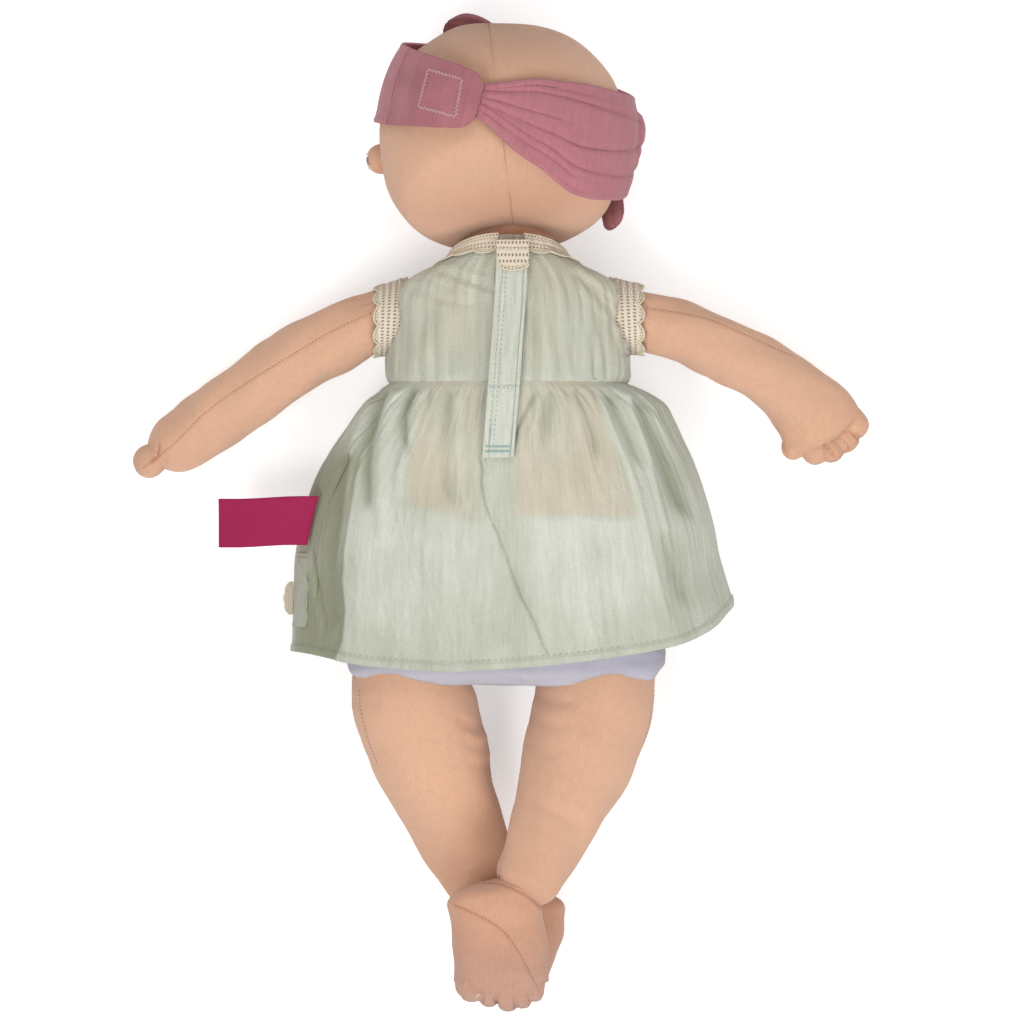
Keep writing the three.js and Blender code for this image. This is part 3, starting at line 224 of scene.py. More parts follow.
def link(name, vertices, faces, uv=None, marks=None):
    """Puts points, faces, a map in millimetres and painted marks into a new object."""
    mesh = bpy.data.meshes.new(name)
    mesh.from_pydata((np.asarray(vertices) * MM).tolist(), [], [list(f) for f in faces])
    if uv is not None:
        mesh.uv_layers.new(name="cloth").data.foreach_set("uv", np.asarray(uv, np.float32).ravel())
    for mark, values in (marks or {}).items():
        layer = mesh.attributes.new(mark, "FLOAT", "POINT")
        layer.data.foreach_set("value", np.asarray(values, np.float32).ravel())
    mesh.shade_smooth()
    made = bpy.data.objects.new(name, mesh)
    scene.collection.objects.link(made)
    return made


def grid_piece(name, grid, closed=True, capped=True, uv=None, marks=None, away=None):
    """A piece from a grid (rows, columns, 3), facing away from a point, or else from its own middle.
    Its map is (across, along) in millimetres, and the ends of a closed grid may be capped."""
    rows, columns = grid.shape[:2]
    middle = grid.reshape(-1, 3).mean(0) if away is None else np.asarray(away, float)
    flip = ((grid - middle) * grid_normals(grid, closed)).sum() < 0
    faces = grid_faces(rows, columns, closed)
    if uv is None:
        along = np.vstack([np.zeros(columns), np.cumsum(np.linalg.norm(np.diff(grid, axis=0), axis=2), 0)])
        size = np.linalg.norm(np.diff(grid, axis=1), axis=2).sum(1).max()
        across = np.broadcast_to(np.linspace(0, size, columns + closed), (rows, columns + closed))
        along = np.hstack([along, along[:, :1]]) if closed else along
        uv = np.stack([across, along], -1)
    corner = np.stack([faces // columns, faces % columns], -1)
    far_side = np.isin(np.arange(4), (1, 2))
    wrap = np.where(closed & (corner[:, :, 1] == 0) & far_side, columns, corner[:, :, 1])
    loops = uv[corner[:, :, 0], wrap]
    points, quads = grid.reshape(-1, 3), faces.tolist()
    marks = {k: np.asarray(v).reshape(-1) for k, v in (marks or {}).items()}
    if closed and capped:
        tips = np.stack([grid[0].mean(0), grid[-1].mean(0)])
        k, count = np.arange(columns), len(points)
        after = (k + 1) % columns
        first = np.stack([np.full(columns, count), after, k], -1)
        last = np.stack([np.full(columns, count + 1), count - columns + k, count - columns + after], -1)
        quads += first.tolist() + last.tolist()
        ends = [uv[row][[0, 0, 0]] for row in (0, -1) for _ in range(columns)]
        loops = np.vstack([loops.reshape(-1, 2), np.asarray(ends).reshape(-1, 2)])
        marks = {m: np.append(v, [v[:columns].mean(), v[-columns:].mean()]) for m, v in marks.items()}
        points = np.vstack([points, tips])
    if flip:
        quads = [q[::-1] for q in quads]
        sizes = np.array([len(q) for q in quads])
        starts = np.concatenate([[0], np.cumsum(sizes)[:-1]])
        order = np.concatenate([np.arange(s + n - 1, s - 1, -1) for s, n in zip(starts, sizes)])
        loops = loops.reshape(-1, 2)[order]
    return link(name, points, quads, loops.reshape(-1, 2), marks)


def joined(name, *parts):
    """Joins objects into the first one, under a new name."""
    with bpy.context.temp_override(active_object=parts[0], selected_editable_objects=list(parts)):
        bpy.ops.object.join()
    parts[0].name = name
    return parts[0]


def dress_up(piece, finish, body, *nodes, slot=None, bend=None):
    """Gives a piece its finish, makes it ride on a body and lets it stand for its solids. Where a
    bend is given, the piece's place is baked into its points instead, and it rides on no body."""
    piece.data.materials.clear()
    piece.data.materials.append(finish)
    if bend:
        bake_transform(piece)
    else:
        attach(piece, body)
    if nodes:
        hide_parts(*nodes)
    return piece


# %% [markdown]
# Cloth is recognised by its threads. Jersey shows columns of small loops, gauze shows an open
# weave with loose crinkles, and ribbon shows close ribs. Each is a group of shader nodes that
# reads the piece's own map in millimetres, so the threads run along the sewn piece and not
# through it. An image of cloth would be quicker but would repeat and blur.

# %% Threads as groups of shader nodes


def shader_group(name, inputs, outputs):
    """A new group with named number or vector inputs and number outputs."""
    group = bpy.data.node_groups.new(name, "ShaderNodeTree")
    for socket, kind, value in inputs:
        made = group.interface.new_socket(socket, in_out="INPUT", socket_type=kind)
        if value is not None:
            made.default_value = value
    for socket in outputs:
        group.interface.new_socket(socket, in_out="OUTPUT", socket_type="NodeSocketFloat")
    return group, group.nodes.new("NodeGroupInput").outputs, group.nodes.new("NodeGroupOutput").inputs


def maths(tree, operation, *values, clamp=False):
    """One Math node, whose inputs are numbers or sockets, and its result."""
    node = tree.nodes.new("ShaderNodeMath")
    node.operation = operation
    node.use_clamp = clamp
    for k, value in enumerate(values):
        if isinstance(value, (int, float)):
            node.inputs[k].default_value = value
        else:
            tree.links.new(value, node.inputs[k])
    return node.outputs[0]


def noise(tree, vector, scale, detail=2.0, roughness=0.5):
    """One Noise Texture about 0.5."""
    node = tree.nodes.new("ShaderNodeTexNoise")
    node.inputs["Scale"].default_value = scale
    node.inputs["Detail"].default_value = detail
    node.inputs["Roughness"].default_value = roughness
    tree.links.new(vector, node.inputs["Vector"])
    return node.outputs["Fac"]


def split(tree, vector):
    """The parts of a vector."""
    node = tree.nodes.new("ShaderNodeSeparateXYZ")
    tree.links.new(vector, node.inputs[0])
    return node.outputs


FLOAT, VECTOR = "NodeSocketFloat", "NodeSocketVector"


def jersey_group():
    """Columns of knitted loops: a rounded wale across, and slanting loops along each wale."""
    inputs = [("Map", VECTOR, None), ("Wale", FLOAT, 0.9)]
    group, given, result = shader_group("jersey", inputs, ["Height", "Shade"])
    across, along = split(group, given["Map"])[:2]
    place = maths(group, "DIVIDE", across, given["Wale"])
    wale = maths(group, "ABSOLUTE", maths(group, "SINE", maths(group, "MULTIPLY", place, math.pi)))
    slant = maths(group, "MULTIPLY", maths(group, "PINGPONG", place, 0.5), 1.6)
    course = maths(group, "ADD", maths(group, "DIVIDE", along, given["Wale"]), slant)
    loops = maths(group, "SINE", maths(group, "MULTIPLY", course, TAU))
    height = maths(group, "ADD", wale, maths(group, "MULTIPLY", loops, 0.16))
    fuzz = noise(group, given["Map"], 0.35, 4, 0.6)
    wire(group, (maths(group, "ADD", height, maths(group, "MULTIPLY", fuzz, 0.3)), result["Height"]))
    # Shade: painted shade in the hollows between wales, with a random fuzz of tone.
    shade = maths(group, "MULTIPLY", maths(group, "SUBTRACT", wale, 0.64), 0.5)
    spread = maths(group, "MULTIPLY", maths(group, "SUBTRACT", fuzz, 0.5), 0.7)
    wire(group, (maths(group, "ADD", shade, spread), result["Shade"]))
    return group


def gauze_group():
    """An open weave: threads both ways, thick and thin, with small gaps and crinkles between."""
    inputs = [("Map", VECTOR, None), ("Thread", FLOAT, 0.8)]
    group, given, result = shader_group("gauze", inputs, ["Height", "Shade"])
    across, along = split(group, given["Map"])[:2]
    wobble = maths(group, "MULTIPLY", maths(group, "SUBTRACT", noise(group, given["Map"], 0.25, 2), 0.5), 2.4)
    warp_place = maths(group, "DIVIDE", maths(group, "ADD", across, wobble), given["Thread"])
    weft_place = maths(group, "DIVIDE", maths(group, "ADD", along, wobble), given["Thread"])
    warp = maths(group, "SINE", maths(group, "MULTIPLY", warp_place, TAU))
    weft = maths(group, "SINE", maths(group, "MULTIPLY", weft_place, TAU))
    weave = maths(group, "MAXIMUM", warp, weft)
    stretch = group.nodes.new("ShaderNodeMapping")
    stretch.inputs["Scale"].default_value = (1, 0.12, 1)
    wire(group, (given["Map"], stretch.inputs["Vector"]))
    crinkle = noise(group, stretch.outputs[0], 0.55, 3, 0.6)
    height = maths(group, "ADD", maths(group, "MULTIPLY", weave, 0.28), maths(group, "MULTIPLY", crinkle, 2.6))
    wire(group, (height, result["Height"]))
    # Shade: random specks of tone, painted shade in the crinkles' hollows and painted light on the raised threads.
    grain = noise(group, given["Map"], 1.3, 2, 0.7)
    specks = maths(group, "MULTIPLY", maths(group, "SUBTRACT", grain, 0.5), 0.7)
    dips = maths(group, "MULTIPLY", maths(group, "SUBTRACT", crinkle, 0.5), 0.9)
    tone = maths(group, "ADD", specks, dips)
    wire(group, (maths(group, "ADD", tone, maths(group, "MULTIPLY", weave, 0.1)), result["Shade"]))
    return group


def ribbed_group():
    """Close ribs across a ribbon, with a fine twill slant."""
    inputs = [("Map", VECTOR, None), ("Rib", FLOAT, 0.7)]
    group, given, result = shader_group("ribs", inputs, ["Height", "Shade"])
    across, along = split(group, given["Map"])[:2]
    place = maths(group, "DIVIDE", along, given["Rib"])
    rib = maths(group, "SINE", maths(group, "MULTIPLY", place, TAU))
    twill = maths(group, "ADD", place, maths(group, "DIVIDE", across, given["Rib"]))
    slant = maths(group, "SINE", maths(group, "MULTIPLY", twill, math.pi))
    height = maths(group, "ADD", maths(group, "MULTIPLY", rib, 0.5), maths(group, "MULTIPLY", slant, 0.3))
    wire(group, (height, result["Height"]))
    grain = maths(group, "SUBTRACT", noise(group, given["Map"], 0.8, 3), 0.5)
    wire(group, (maths(group, "MULTIPLY", grain, 0.8), result["Shade"]))
    return group


THREADS = {"jersey": jersey_group(), "gauze": gauze_group(), "ribs": ribbed_group()}


def rgb(red, green, blue):
    """A colour as it is seen on a screen, 0 to 255, turned to light for the shader."""
    c = np.array([red, green, blue]) / 255
    return (*np.where(c <= 0.04045, c / 12.92, ((c + 0.055) / 1.055) ** 2.4), 1.0)


def cloth_finish(name, colour, threads, size, depth, roughness=0.9, sheen=0.3, contrast=0.22, tints=()):
    """Cloth: a colour with painted shade in its threads' hollows and random patches of tone, raised threads, soft
    sheen, and painted tints.
    Each tint is (mark, colour, strength): where the piece's mark is 1 the colour takes over."""
    made = bpy.data.materials.new(name)
    made.use_nodes = True
    tree = made.node_tree
    base = tree.nodes["Principled BSDF"]
    base.inputs["Roughness"].default_value = roughness
    base.inputs["Sheen Weight"].default_value = sheen
    base.inputs["Sheen Roughness"].default_value = 0.5
    base.inputs["Specular IOR Level"].default_value = 0.2
    cloth_map = tree.nodes.new("ShaderNodeUVMap")
    cloth_map.uv_map = "cloth"
    group = tree.nodes.new("ShaderNodeGroup")
    group.node_tree = THREADS[threads]
    group.inputs[1].default_value = size
    wire(tree, (cloth_map.outputs[0], group.inputs["Map"]))
    space = tree.nodes.new("ShaderNodeTexCoord").outputs["Object"]
    patch = maths(tree, "MULTIPLY", maths(tree, "SUBTRACT", noise(tree, space, 38, 3, 0.6), 0.5), 0.5)
    shade = maths(tree, "MULTIPLY_ADD", maths(tree, "ADD", group.outputs["Shade"], patch), contrast, 1.0)
    last = tree.nodes.new("ShaderNodeRGB").outputs[0]
    last.default_value = colour
    for mark, tint, strength in tints:
        mix = tree.nodes.new("ShaderNodeMix")
        mix.data_type = "RGBA"
        painted = tree.nodes.new("ShaderNodeAttribute")
        painted.attribute_name = mark
        share = maths(tree, "MULTIPLY", painted.outputs["Fac"], strength, clamp=True)
        wire(tree, (share, mix.inputs[0]), (last, mix.inputs[6]))
        mix.inputs[7].default_value = tint
        last = mix.outputs[2]
    scaled = tree.nodes.new("ShaderNodeVectorMath")
    scaled.operation = "SCALE"
    wire(tree, (last, scaled.inputs[0]), (shade, scaled.inputs["Scale"]))
    wire(tree, (scaled.outputs[0], base.inputs["Base Color"]))
    relief = tree.nodes.new("ShaderNodeBump")
    relief.inputs["Strength"].default_value = 1.0
    relief.inputs["Distance"].default_value = depth * MM
    wire(tree, (group.outputs["Height"], relief.inputs["Height"]), (relief.outputs[0], base.inputs["Normal"]))
    return made


def thread_finish(name, colour, roughness=0.75):
    """Sewing thread: fine slanting strands in colour only, with painted shade in their hollows and painted light on
    their crests.
    """
    made = bpy.data.materials.new(name)
    made.use_nodes = True
    tree = made.node_tree
    base = tree.nodes["Principled BSDF"]
    base.inputs["Roughness"].default_value = roughness
    base.inputs["Sheen Weight"].default_value = 0.2
    wave = tree.nodes.new("ShaderNodeTexWave")
    wave.bands_direction = "DIAGONAL"
    wave.inputs["Scale"].default_value = 900
    wave.inputs["Distortion"].default_value = 2
    wire(tree, (tree.nodes.new("ShaderNodeTexCoord").outputs["Object"], wave.inputs["Vector"]))
    ramp = tree.nodes.new("ShaderNodeValToRGB")
    ramp.color_ramp.elements[0].color = (*[0.72 * c for c in colour[:3]], 1)
    ramp.color_ramp.elements[1].color = (*[min(1.12 * c, 1) for c in colour[:3]], 1)
    wire(tree, (wave.outputs["Fac"], ramp.inputs[0]), (ramp.outputs[0], base.inputs["Base Color"]))
    return made


# The third tint is painted shade. The first is partly painted shade, in creases, under the legs, towards the ankles
# and over the soles, and partly the skin's own warmer tone along seams and on the nape, neck, nose and ears. The
# second is the cheeks' blush.
SKIN_TINTS = [
    ("warm_tone_and_shade", rgb(202, 134, 100), 1.0), ("blush", rgb(222, 138, 112), 0.8),
    ("painted_shade", rgb(190, 150, 131), 1.0),
]
skin = cloth_finish("skin_jersey", rgb(218, 172, 143), "jersey", 0.85, 0.13, 0.92, 0.25, 0.27, SKIN_TINTS)
seam_thread = thread_finish("seam_thread", rgb(176, 112, 84))
pale_thread = thread_finish("pale_thread", rgb(232, 222, 208))
dark_thread = thread_finish("dark_thread", rgb(92, 62, 48))
lip_thread = thread_finish("lip_thread", rgb(190, 104, 100))
teal_thread = thread_finish("teal_thread", rgb(150, 183, 180))
pink_thread = thread_finish("pink_thread", rgb(226, 190, 196))
cream_yarn = thread_finish("cream_yarn", rgb(226, 214, 190), 0.85)
print("finishes:", len(bpy.data.materials))

# %% [markdown]
# Sewn pieces show where they are joined: a shallow groove along the seam with a row of small
# stitches in it. The groove moves the points of the grid near a path, and the stitches are real
# little tubes, because a painted line would vanish at the doll's edges. Paths are written as
# places in the straight-down view, 0.4 mm to a step, and then laid onto the grid beneath.

# %% Seams, stitches and creases
VIEW_STEP = 0.4
VIEW_MIDDLE = (499.5, 512.0)


def seen(places):
    """Places in the straight-down view, in view steps, turned to millimetres on the doll."""
    across, down = np.asarray(places, float).T
    return np.stack([(across - VIEW_MIDDLE[0]) * VIEW_STEP, (VIEW_MIDDLE[1] - down) * VIEW_STEP], -1)


def in_view(grid):
    """Grid points as places in the straight-down view: steps across and steps down."""
    return grid[..., 0] / VIEW_STEP + VIEW_MIDDLE[0], VIEW_MIDDLE[1] - grid[..., 1] / VIEW_STEP


def evened(path, spacing):
    """The same path with its points a fixed distance apart."""
    steps = walked(path)
    return read_at(np.linspace(0, steps[-1], max(int(steps[-1] / spacing), 2)), steps, path)


def curved(points, count=40):
    """A centripetal curve through the points: flat at no corner, and never overshooting much."""
    p = np.asarray(points, float)
    ends = np.vstack([2 * p[0] - p[1], p, 2 * p[-1] - p[-2]])
    parts = []
    for k in range(len(p) - 1):
        a, b, c, d = ends[k : k + 4]
        pairs = (a, b), (b, c), (c, d)
        before, here, after = [max(float(np.sum((v - u) ** 2)) ** 0.25, 1e-6) for u, v in pairs]
        leave = ((b - a) / before - (c - a) / (before + here) + (c - b) / here) * here
        arrive = ((c - b) / here - (d - b) / (here + after) + (d - c) / after) * here
        t = np.linspace(0, 1, count, endpoint=k == len(p) - 2)[:, None]
        square, cube = 3 * (c - b) - 2 * leave - arrive, 2 * (b - c) + leave + arrive
        parts.append(b + leave * t + square * t**2 + cube * t**3)
    return np.vstack(parts)


def outward(grid, closed=True, away=None):
    """Grid normals, turned away from a point, or else from the middle of the grid."""
    normals = grid_normals(grid, closed)
    middle = grid.reshape(-1, 3).mean(0) if away is None else np.asarray(away, float)
    return normals * (1 if ((grid - middle) * normals).sum() > 0 else -1)


def laid_on(grid, places, closed=True, lift=0.0, spacing=0.8, away=None):
    """Lays a path of view places onto the side of a grid that faces the viewer.
    The nearest points on that side give the height and the outward direction."""
    path = evened(curved(seen(places)), spacing)
    normals = outward(grid, closed, away)
    facing = normals[..., 2] > 0.05
    points, ups = grid[facing], normals[facing]
    gaps = np.linalg.norm(points[None, :, :2] - path[:, None], axis=2)
    near = np.argpartition(gaps, 6, axis=1)[:, :6]
    weight = 1 / (np.take_along_axis(gaps, near, 1) + 0.05)
    weight = (weight / weight.sum(1, keepdims=True))[..., None]
    height = (points[near] * weight).sum(1)
    ups = unit((ups[near] * weight).sum(1))
    return np.stack([path[:, 0], path[:, 1], height[:, 2]], -1) + ups * lift, ups


def away_from(grid, path):
    """The distance of every grid point from the nearest point of a path."""
    flat = grid.reshape(-1, 3)
    return np.min([np.linalg.norm(flat - p, axis=1) for p in path], 0).reshape(grid.shape[:2])


def creased(grid, path, depth, width, closed=True, lip=0.0, away=None):
    """Presses a groove into the grid along a path, with an optional soft lip beside it."""
    gap = away_from(grid, path)
    press = depth * bump(gap, 0, width) - lip * bump(gap, 1.9 * width, width)
    return grid - outward(grid, closed, away) * press[..., None]


def grooved(grid, lines, closed=True, spacing=0.8, away=None):
    """Presses a groove along each line (places, depth, width, lip), and gives their paths."""
    paths = []
    for places, depth, width, lip in lines:
        paths.append(laid_on(grid, places, closed, spacing=spacing, away=away)[0])
        grid = creased(grid, paths[-1], depth, width, closed, lip, away)
    return grid, paths


def thick(piece, thickness, offset=-1.0):
    """Gives a sheet its thickness: -1 is inwards from its face, and 1 outwards."""
    wall = piece.modifiers.new("thickness", "SOLIDIFY")
    wall.thickness = thickness * MM
    wall.offset = offset
    return piece


def sheet_piece(name, grid, away, thickness, offset=-1.0, marks=None, uv=None):
    """An open grid as a sheet of cloth with a thickness."""
    return thick(grid_piece(name, grid, False, uv=uv, marks=marks, away=away), thickness, offset)


def cut_size(grid, of):
    """The size in metres to which a piece is cut: its grid's length across and along."""
    return tuple(float(of(np.linalg.norm(np.diff(grid, axis=k), axis=2).sum(k))) * MM for k in (1, 0))


def dashes(name, starts, ends, ups, radius, arch=0.15):
    """Stitches: each a thin six-sided tube from a start to an end, arched up and pointed a little."""
    starts, ends, ups = [np.asarray(v, float).reshape(-1, 3) for v in (starts, ends, ups)]
    t = np.linspace(0, 1, 5)
    size = radius * np.array([0.35, 0.9, 1, 0.9, 0.35])
    rise = (arch * np.sin(math.pi * t))[:, None]
    line = starts[:, None] + (ends - starts)[:, None] * t[:, None] + ups[:, None] * rise
    ahead = unit(ends - starts)
    side = unit(np.cross(ahead, ups))
    top = np.cross(side, ahead)
    turn = round_turns(6)
    ring = np.cos(turn)[:, None] * side[:, None] + np.sin(turn)[:, None] * top[:, None]
    points = line[:, :, None] + size[None, :, None, None] * ring[:, None]
    one = grid_faces(5, 6, True)[:, ::-1]
    faces = (one[None] + 30 * np.arange(len(starts))[:, None, None]).reshape(-1, 4).tolist()
    caps = np.array([[0, 1, 2, 3, 4, 5], [29, 28, 27, 26, 25, 24]])
    faces += (caps[None] + 30 * np.arange(len(starts))[:, None, None]).reshape(-1, 6).tolist()
    return link(name, points.reshape(-1, 3), faces)


def stitches(name, path, ups, length, gap, radius, arch=0.15):
    """A row of stitches along a path."""
    steps = walked(path)
    begin = np.arange(0, steps[-1] - length, length + gap)
    ends = read_at(begin, steps, path), read_at(begin + length, steps, path)
    return dashes(name, *ends, read_at(begin, steps, ups), radius, arch)


def zigzag(name, path, ups, width, pitch, radius):
    """A zigzag row: its corners lie to the left and right of the path in turn."""
    steps = walked(path)
    stops = np.arange(0, steps[-1], pitch / 2)
    middle, top = read_at(stops, steps, path), unit(read_at(stops, steps, ups))
    side = unit(np.cross(np.gradient(middle, axis=0), top))
    corners = middle + side * (width / 2 * (1 - 2 * (np.arange(len(stops)) % 2)))[:, None]
    return dashes(name, corners[:-1], corners[1:], top[:-1], radius)


print("sewing helpers ready")

# %% [markdown]
# The head is an egg of jersey with full cheeks, tucked in at the nape where the neck is sewn on.
# A sphere pulled about by hand would do, but here one formula gives how far the surface lies from
# the head's middle in any direction, so that the headband can be fitted to the same formula.

# %% Head
HEAD_MIDDLE = np.array([1.2, 148.8, 50.0])
HEAD_SIZE = np.array([98.0, 92.0, 88.0])
HEAD_LEAN = math.radians(7)
lean_cos, lean_sin = math.cos(HEAD_LEAN), math.sin(HEAD_LEAN)
lean = np.array([[lean_cos, -lean_sin, 0], [lean_sin, lean_cos, 0], [0, 0, 1]])
NAPE = unit(np.array([-0.04, -0.85, 0.52]))
CHEEKS = unit(np.array([[-0.6, -0.42, -0.68], [0.6, -0.42, -0.68]]))


def head_reach(direction):
    """How far the skin lies from the head's middle: an egg with a squarer crown and a longer chin,
    less the nape's tuck, plus the cheeks."""
    below = ease(-direction[..., 1], 0, 1)
    power = 2.25 - 0.09 * below
    size = HEAD_SIZE / 2 * np.stack([1 + 0 * below, 1 + 0.07 * below, 1 + 0 * below], -1)
    egg = (np.abs(direction / size) ** power[..., None]).sum(-1) ** (-1 / power)
    d = direction @ lean
    tuck = ease(d @ NAPE, 0.52, 1)
    cheeks = sum(ease(d @ cheek, 0.8, 1) for cheek in CHEEKS)
    return egg * (1 - 0.29 * tuck) * (1 + 0.03 * cheeks)


def head_way(x, y, z):
    """A direction in the head's own leaning frame, turned to the doll's frame."""
    return unit(np.stack(np.broadcast_arrays(x, y, z), -1).astype(float)) @ lean.T


def head_grid(rows, columns):
    """Directions from nape pole to crown, carried out to the skin."""
    t = np.linspace(0.012, math.pi - 0.012, rows)[:, None]
    a = round_turns(columns)[None]
    way = head_way(np.sin(t) * np.cos(a), -np.cos(t) + 0 * a, -np.sin(t) * np.sin(a))
    return HEAD_MIDDLE + way * head_reach(way)[..., None], way


grid, way = head_grid(220, 300)
own = way @ lean
turn = np.linspace(0.12, math.pi - 0.1, 300)
seam_way = head_way(0 * turn, -np.cos(turn), np.sin(turn))
seam_path = HEAD_MIDDLE + seam_way * head_reach(seam_way)[:, None]
grid = grid + way * (0.35 * rough(own[..., 0] * 40, own[..., 1] * 40, 3, low=16, high=40))[..., None]
grid = creased(grid, evened(seam_path, 1.0), 0.22, 0.6, lip=0.08)
nape_warmth = ease(-own[..., 1], 0.3, 0.85) * ease(own[..., 2], 0.0, 0.4)
# Painted shade darkens the crown.
crown = ease(own[..., 1], 0.25, 0.95)
blushes = [unit(np.array([side * 0.5, -0.28, -0.82])) for side in (-1, 1)]
cheek_mark = sum(bump(np.arccos(np.clip(own @ blush, -1, 1)), 0, 0.27) for blush in blushes)
near_seam = bump(away_from(grid, evened(seam_path, 1.2)), 0, 0.5)
marks = {"warm_tone_and_shade": 0.22 * nape_warmth + 0.3 * near_seam, "painted_shade": 0.3 * crown, "blush": cheek_mark * 0.6}
head = grid_piece("head_skin", grid, marks=marks)
dress_up(head, skin, "head", "head", slot="skin")
head_seam = stitches("head_seam", seam_path - seam_way * 0.12, seam_way, 0.6, 0.8, 0.13)
dress_up(head_seam, seam_thread, "head", slot="skin_stitch")
print("head points:", len(head.data.vertices))

# %% [markdown]
# Arms and legs are long bags of jersey, stuffed firm at the far end and softer at the joint. Each
# is an oval carried along a curve, closed by a rounded cap at both ends. Hands and feet swell out
# round little balls, as stitches through the stuffing draw fingers and toes apart.

# %% Limbs


def limb_grid(form, rows, columns):
    """Ovals along a smooth curve. A ring's size follows the form's table, and both caps are round."""
    dense = curved(form["spine"], 60)
    steps = walked(dense)
    length = steps[-1]
    cap = np.linspace(0.05, math.pi / 2, rows // 5)
    start, end = form["start_cap"], form["end_cap"]
    middle = np.linspace(start, length - end, rows - 2 * len(cap) + 2)[1:-1]
    stops = np.concatenate([start * (1 - np.cos(cap)), middle, length - end * (1 - np.cos(cap[::-1]))])
    size = np.concatenate([np.sin(cap), np.ones(len(middle)), np.sin(cap[::-1])])
    centre = read_at(stops, steps, dense)
    slope = np.gradient(dense, steps + np.arange(len(steps)) * 1e-9, axis=0)
    ahead = unit(read_at(stops, steps, slope))
    side = unit(np.cross(ahead, np.asarray(form.get("up", (0, 0, 1)), float)))
    top = np.cross(side, ahead)
    width, depth = share_rows(form["sizes"], stops / length).T
    turn = round_turns(columns)
    c, s = np.cos(turn), np.sin(turn)
    reach = oval_reach(c, s, form.get("power", 2))
    x = (form["width"] / 2 * width * size)[:, None] * (c * reach)
    z = (form["depth"] / 2 * depth * size)[:, None] * (s * reach)
    grid = centre[:, None] + side[:, None] * x[..., None] + top[:, None] * z[..., None]
    return grid, stops / length, turn


def swollen(grid, middle, balls, soft=9):
    """Carries points out from a middle onto any ball that lies beyond them.
    Also gives marks for painted shade in the creases, where two balls reach equally far, and round the edges of the
    swellings."""
    out = grid - middle
    reach = np.linalg.norm(out, axis=-1)
    way = out / reach[..., None]
    hits = []
    for ball, radius in balls:
        towards = np.asarray(ball, float) - middle
        along = way @ towards
        inside = radius**2 - (towards @ towards - along**2)
        hits.append(np.where((inside > 0) & (along > 0), along + np.sqrt(np.maximum(inside, 0)), 0))
    hits = np.sort(np.array(hits), 0)
    best = hits[-1]
    merged = (reach**soft + best**soft) ** (1 / soft)
    crease = bump(hits[-1] - hits[-2], 0, 0.7) * (hits[-2] > reach * 0.97)
    edge = bump(best - reach, 0, 0.8) * (best > reach * 0.9)
    return middle + way * merged[..., None], np.maximum(crease, 0.6 * edge)


def spine_of(joint, radius, reach, shares):
    """A limb's curve: its start lies a joint's radius behind the joint's centre."""
    places = np.asarray(joint) + np.asarray(shares, float) * reach
    back = unit(places[1] - places[0])
    return np.vstack([places[0] - back * radius, places])


ARM_REACH, ARM_WIDTH, ARM_BALL = 112, 26, 11.5
LEG_REACH, LEG_WIDTH, LEG_BALL = 100, 48, 23
FOOT_REACH, FOOT_WIDTH, FOOT_DEPTH = 54, 39, 26
FINGER_SIZE = 10.5
SHOULDERS = {"left": np.array([-43.4, 79.0, 33.5]), "right": np.array([50.6, 79.0, 33.5])}
ARM = {
    "left": {
        "spine": [
            [0, 0, 0], [-0.264, -0.12, -0.03], [-0.518, -0.284, -0.09], [-0.71, -0.425, -0.135],
            [-0.865, -0.508, -0.145],
        ],
        "sizes": [
            [0, 0.885, 0.885], [0.09, 0.885, 0.885], [0.3, 1.03, 1], [0.55, 1.03, 1], [0.78, 1, 1],
            [0.9, 0.93, 1.15], [1, 0.74, 1.1],
        ],
        "fingers": [
            [-0.868, -0.522, -0.1, 0.62], [-0.87, -0.528, -0.165, 0.6], [-0.858, -0.522, -0.225, 0.54],
            [-0.79, -0.44, -0.225, 0.48],
        ],
        "cap": 0.42,
        "seam": [
            (375, 312), (333, 331), (289, 357), (245, 384), (207, 411), (173, 444), (150, 462),
            (137, 472),
        ],
        "splits": [[(158, 446), (156, 454), (152, 461)]],
    },
    "right": {
        "spine": [
            [0, 0, 0], [0.255, -0.083, -0.03], [0.507, -0.21, -0.1], [0.655, -0.328, -0.165],
            [0.738, -0.453, -0.185],
        ],
        "sizes": [
            [0, 0.885, 0.885], [0.09, 0.885, 0.885], [0.3, 0.93, 1], [0.55, 0.97, 0.98],
            [0.76, 1.04, 0.88], [0.9, 1.27, 0.78], [1, 1.26, 0.7],
        ],
        "fingers": [
            [0.682, -0.49, -0.185, 0.5], [0.738, -0.48, -0.19, 0.52], [0.79, -0.444, -0.19, 0.52],
            [0.828, -0.393, -0.185, 0.5], [0.605, -0.48, -0.18, 0.4],
        ],
        "cap": 0.24,
        "seam": [(642, 308), (664, 311), (703, 318), (746, 335), (779, 350), (797, 357)],
        "splits": [
            [(826, 444), (831, 449), (835, 455)], [(842, 438), (846, 443), (850, 449)],
            [(854, 430), (857, 434), (862, 439)],
        ],
    },
}
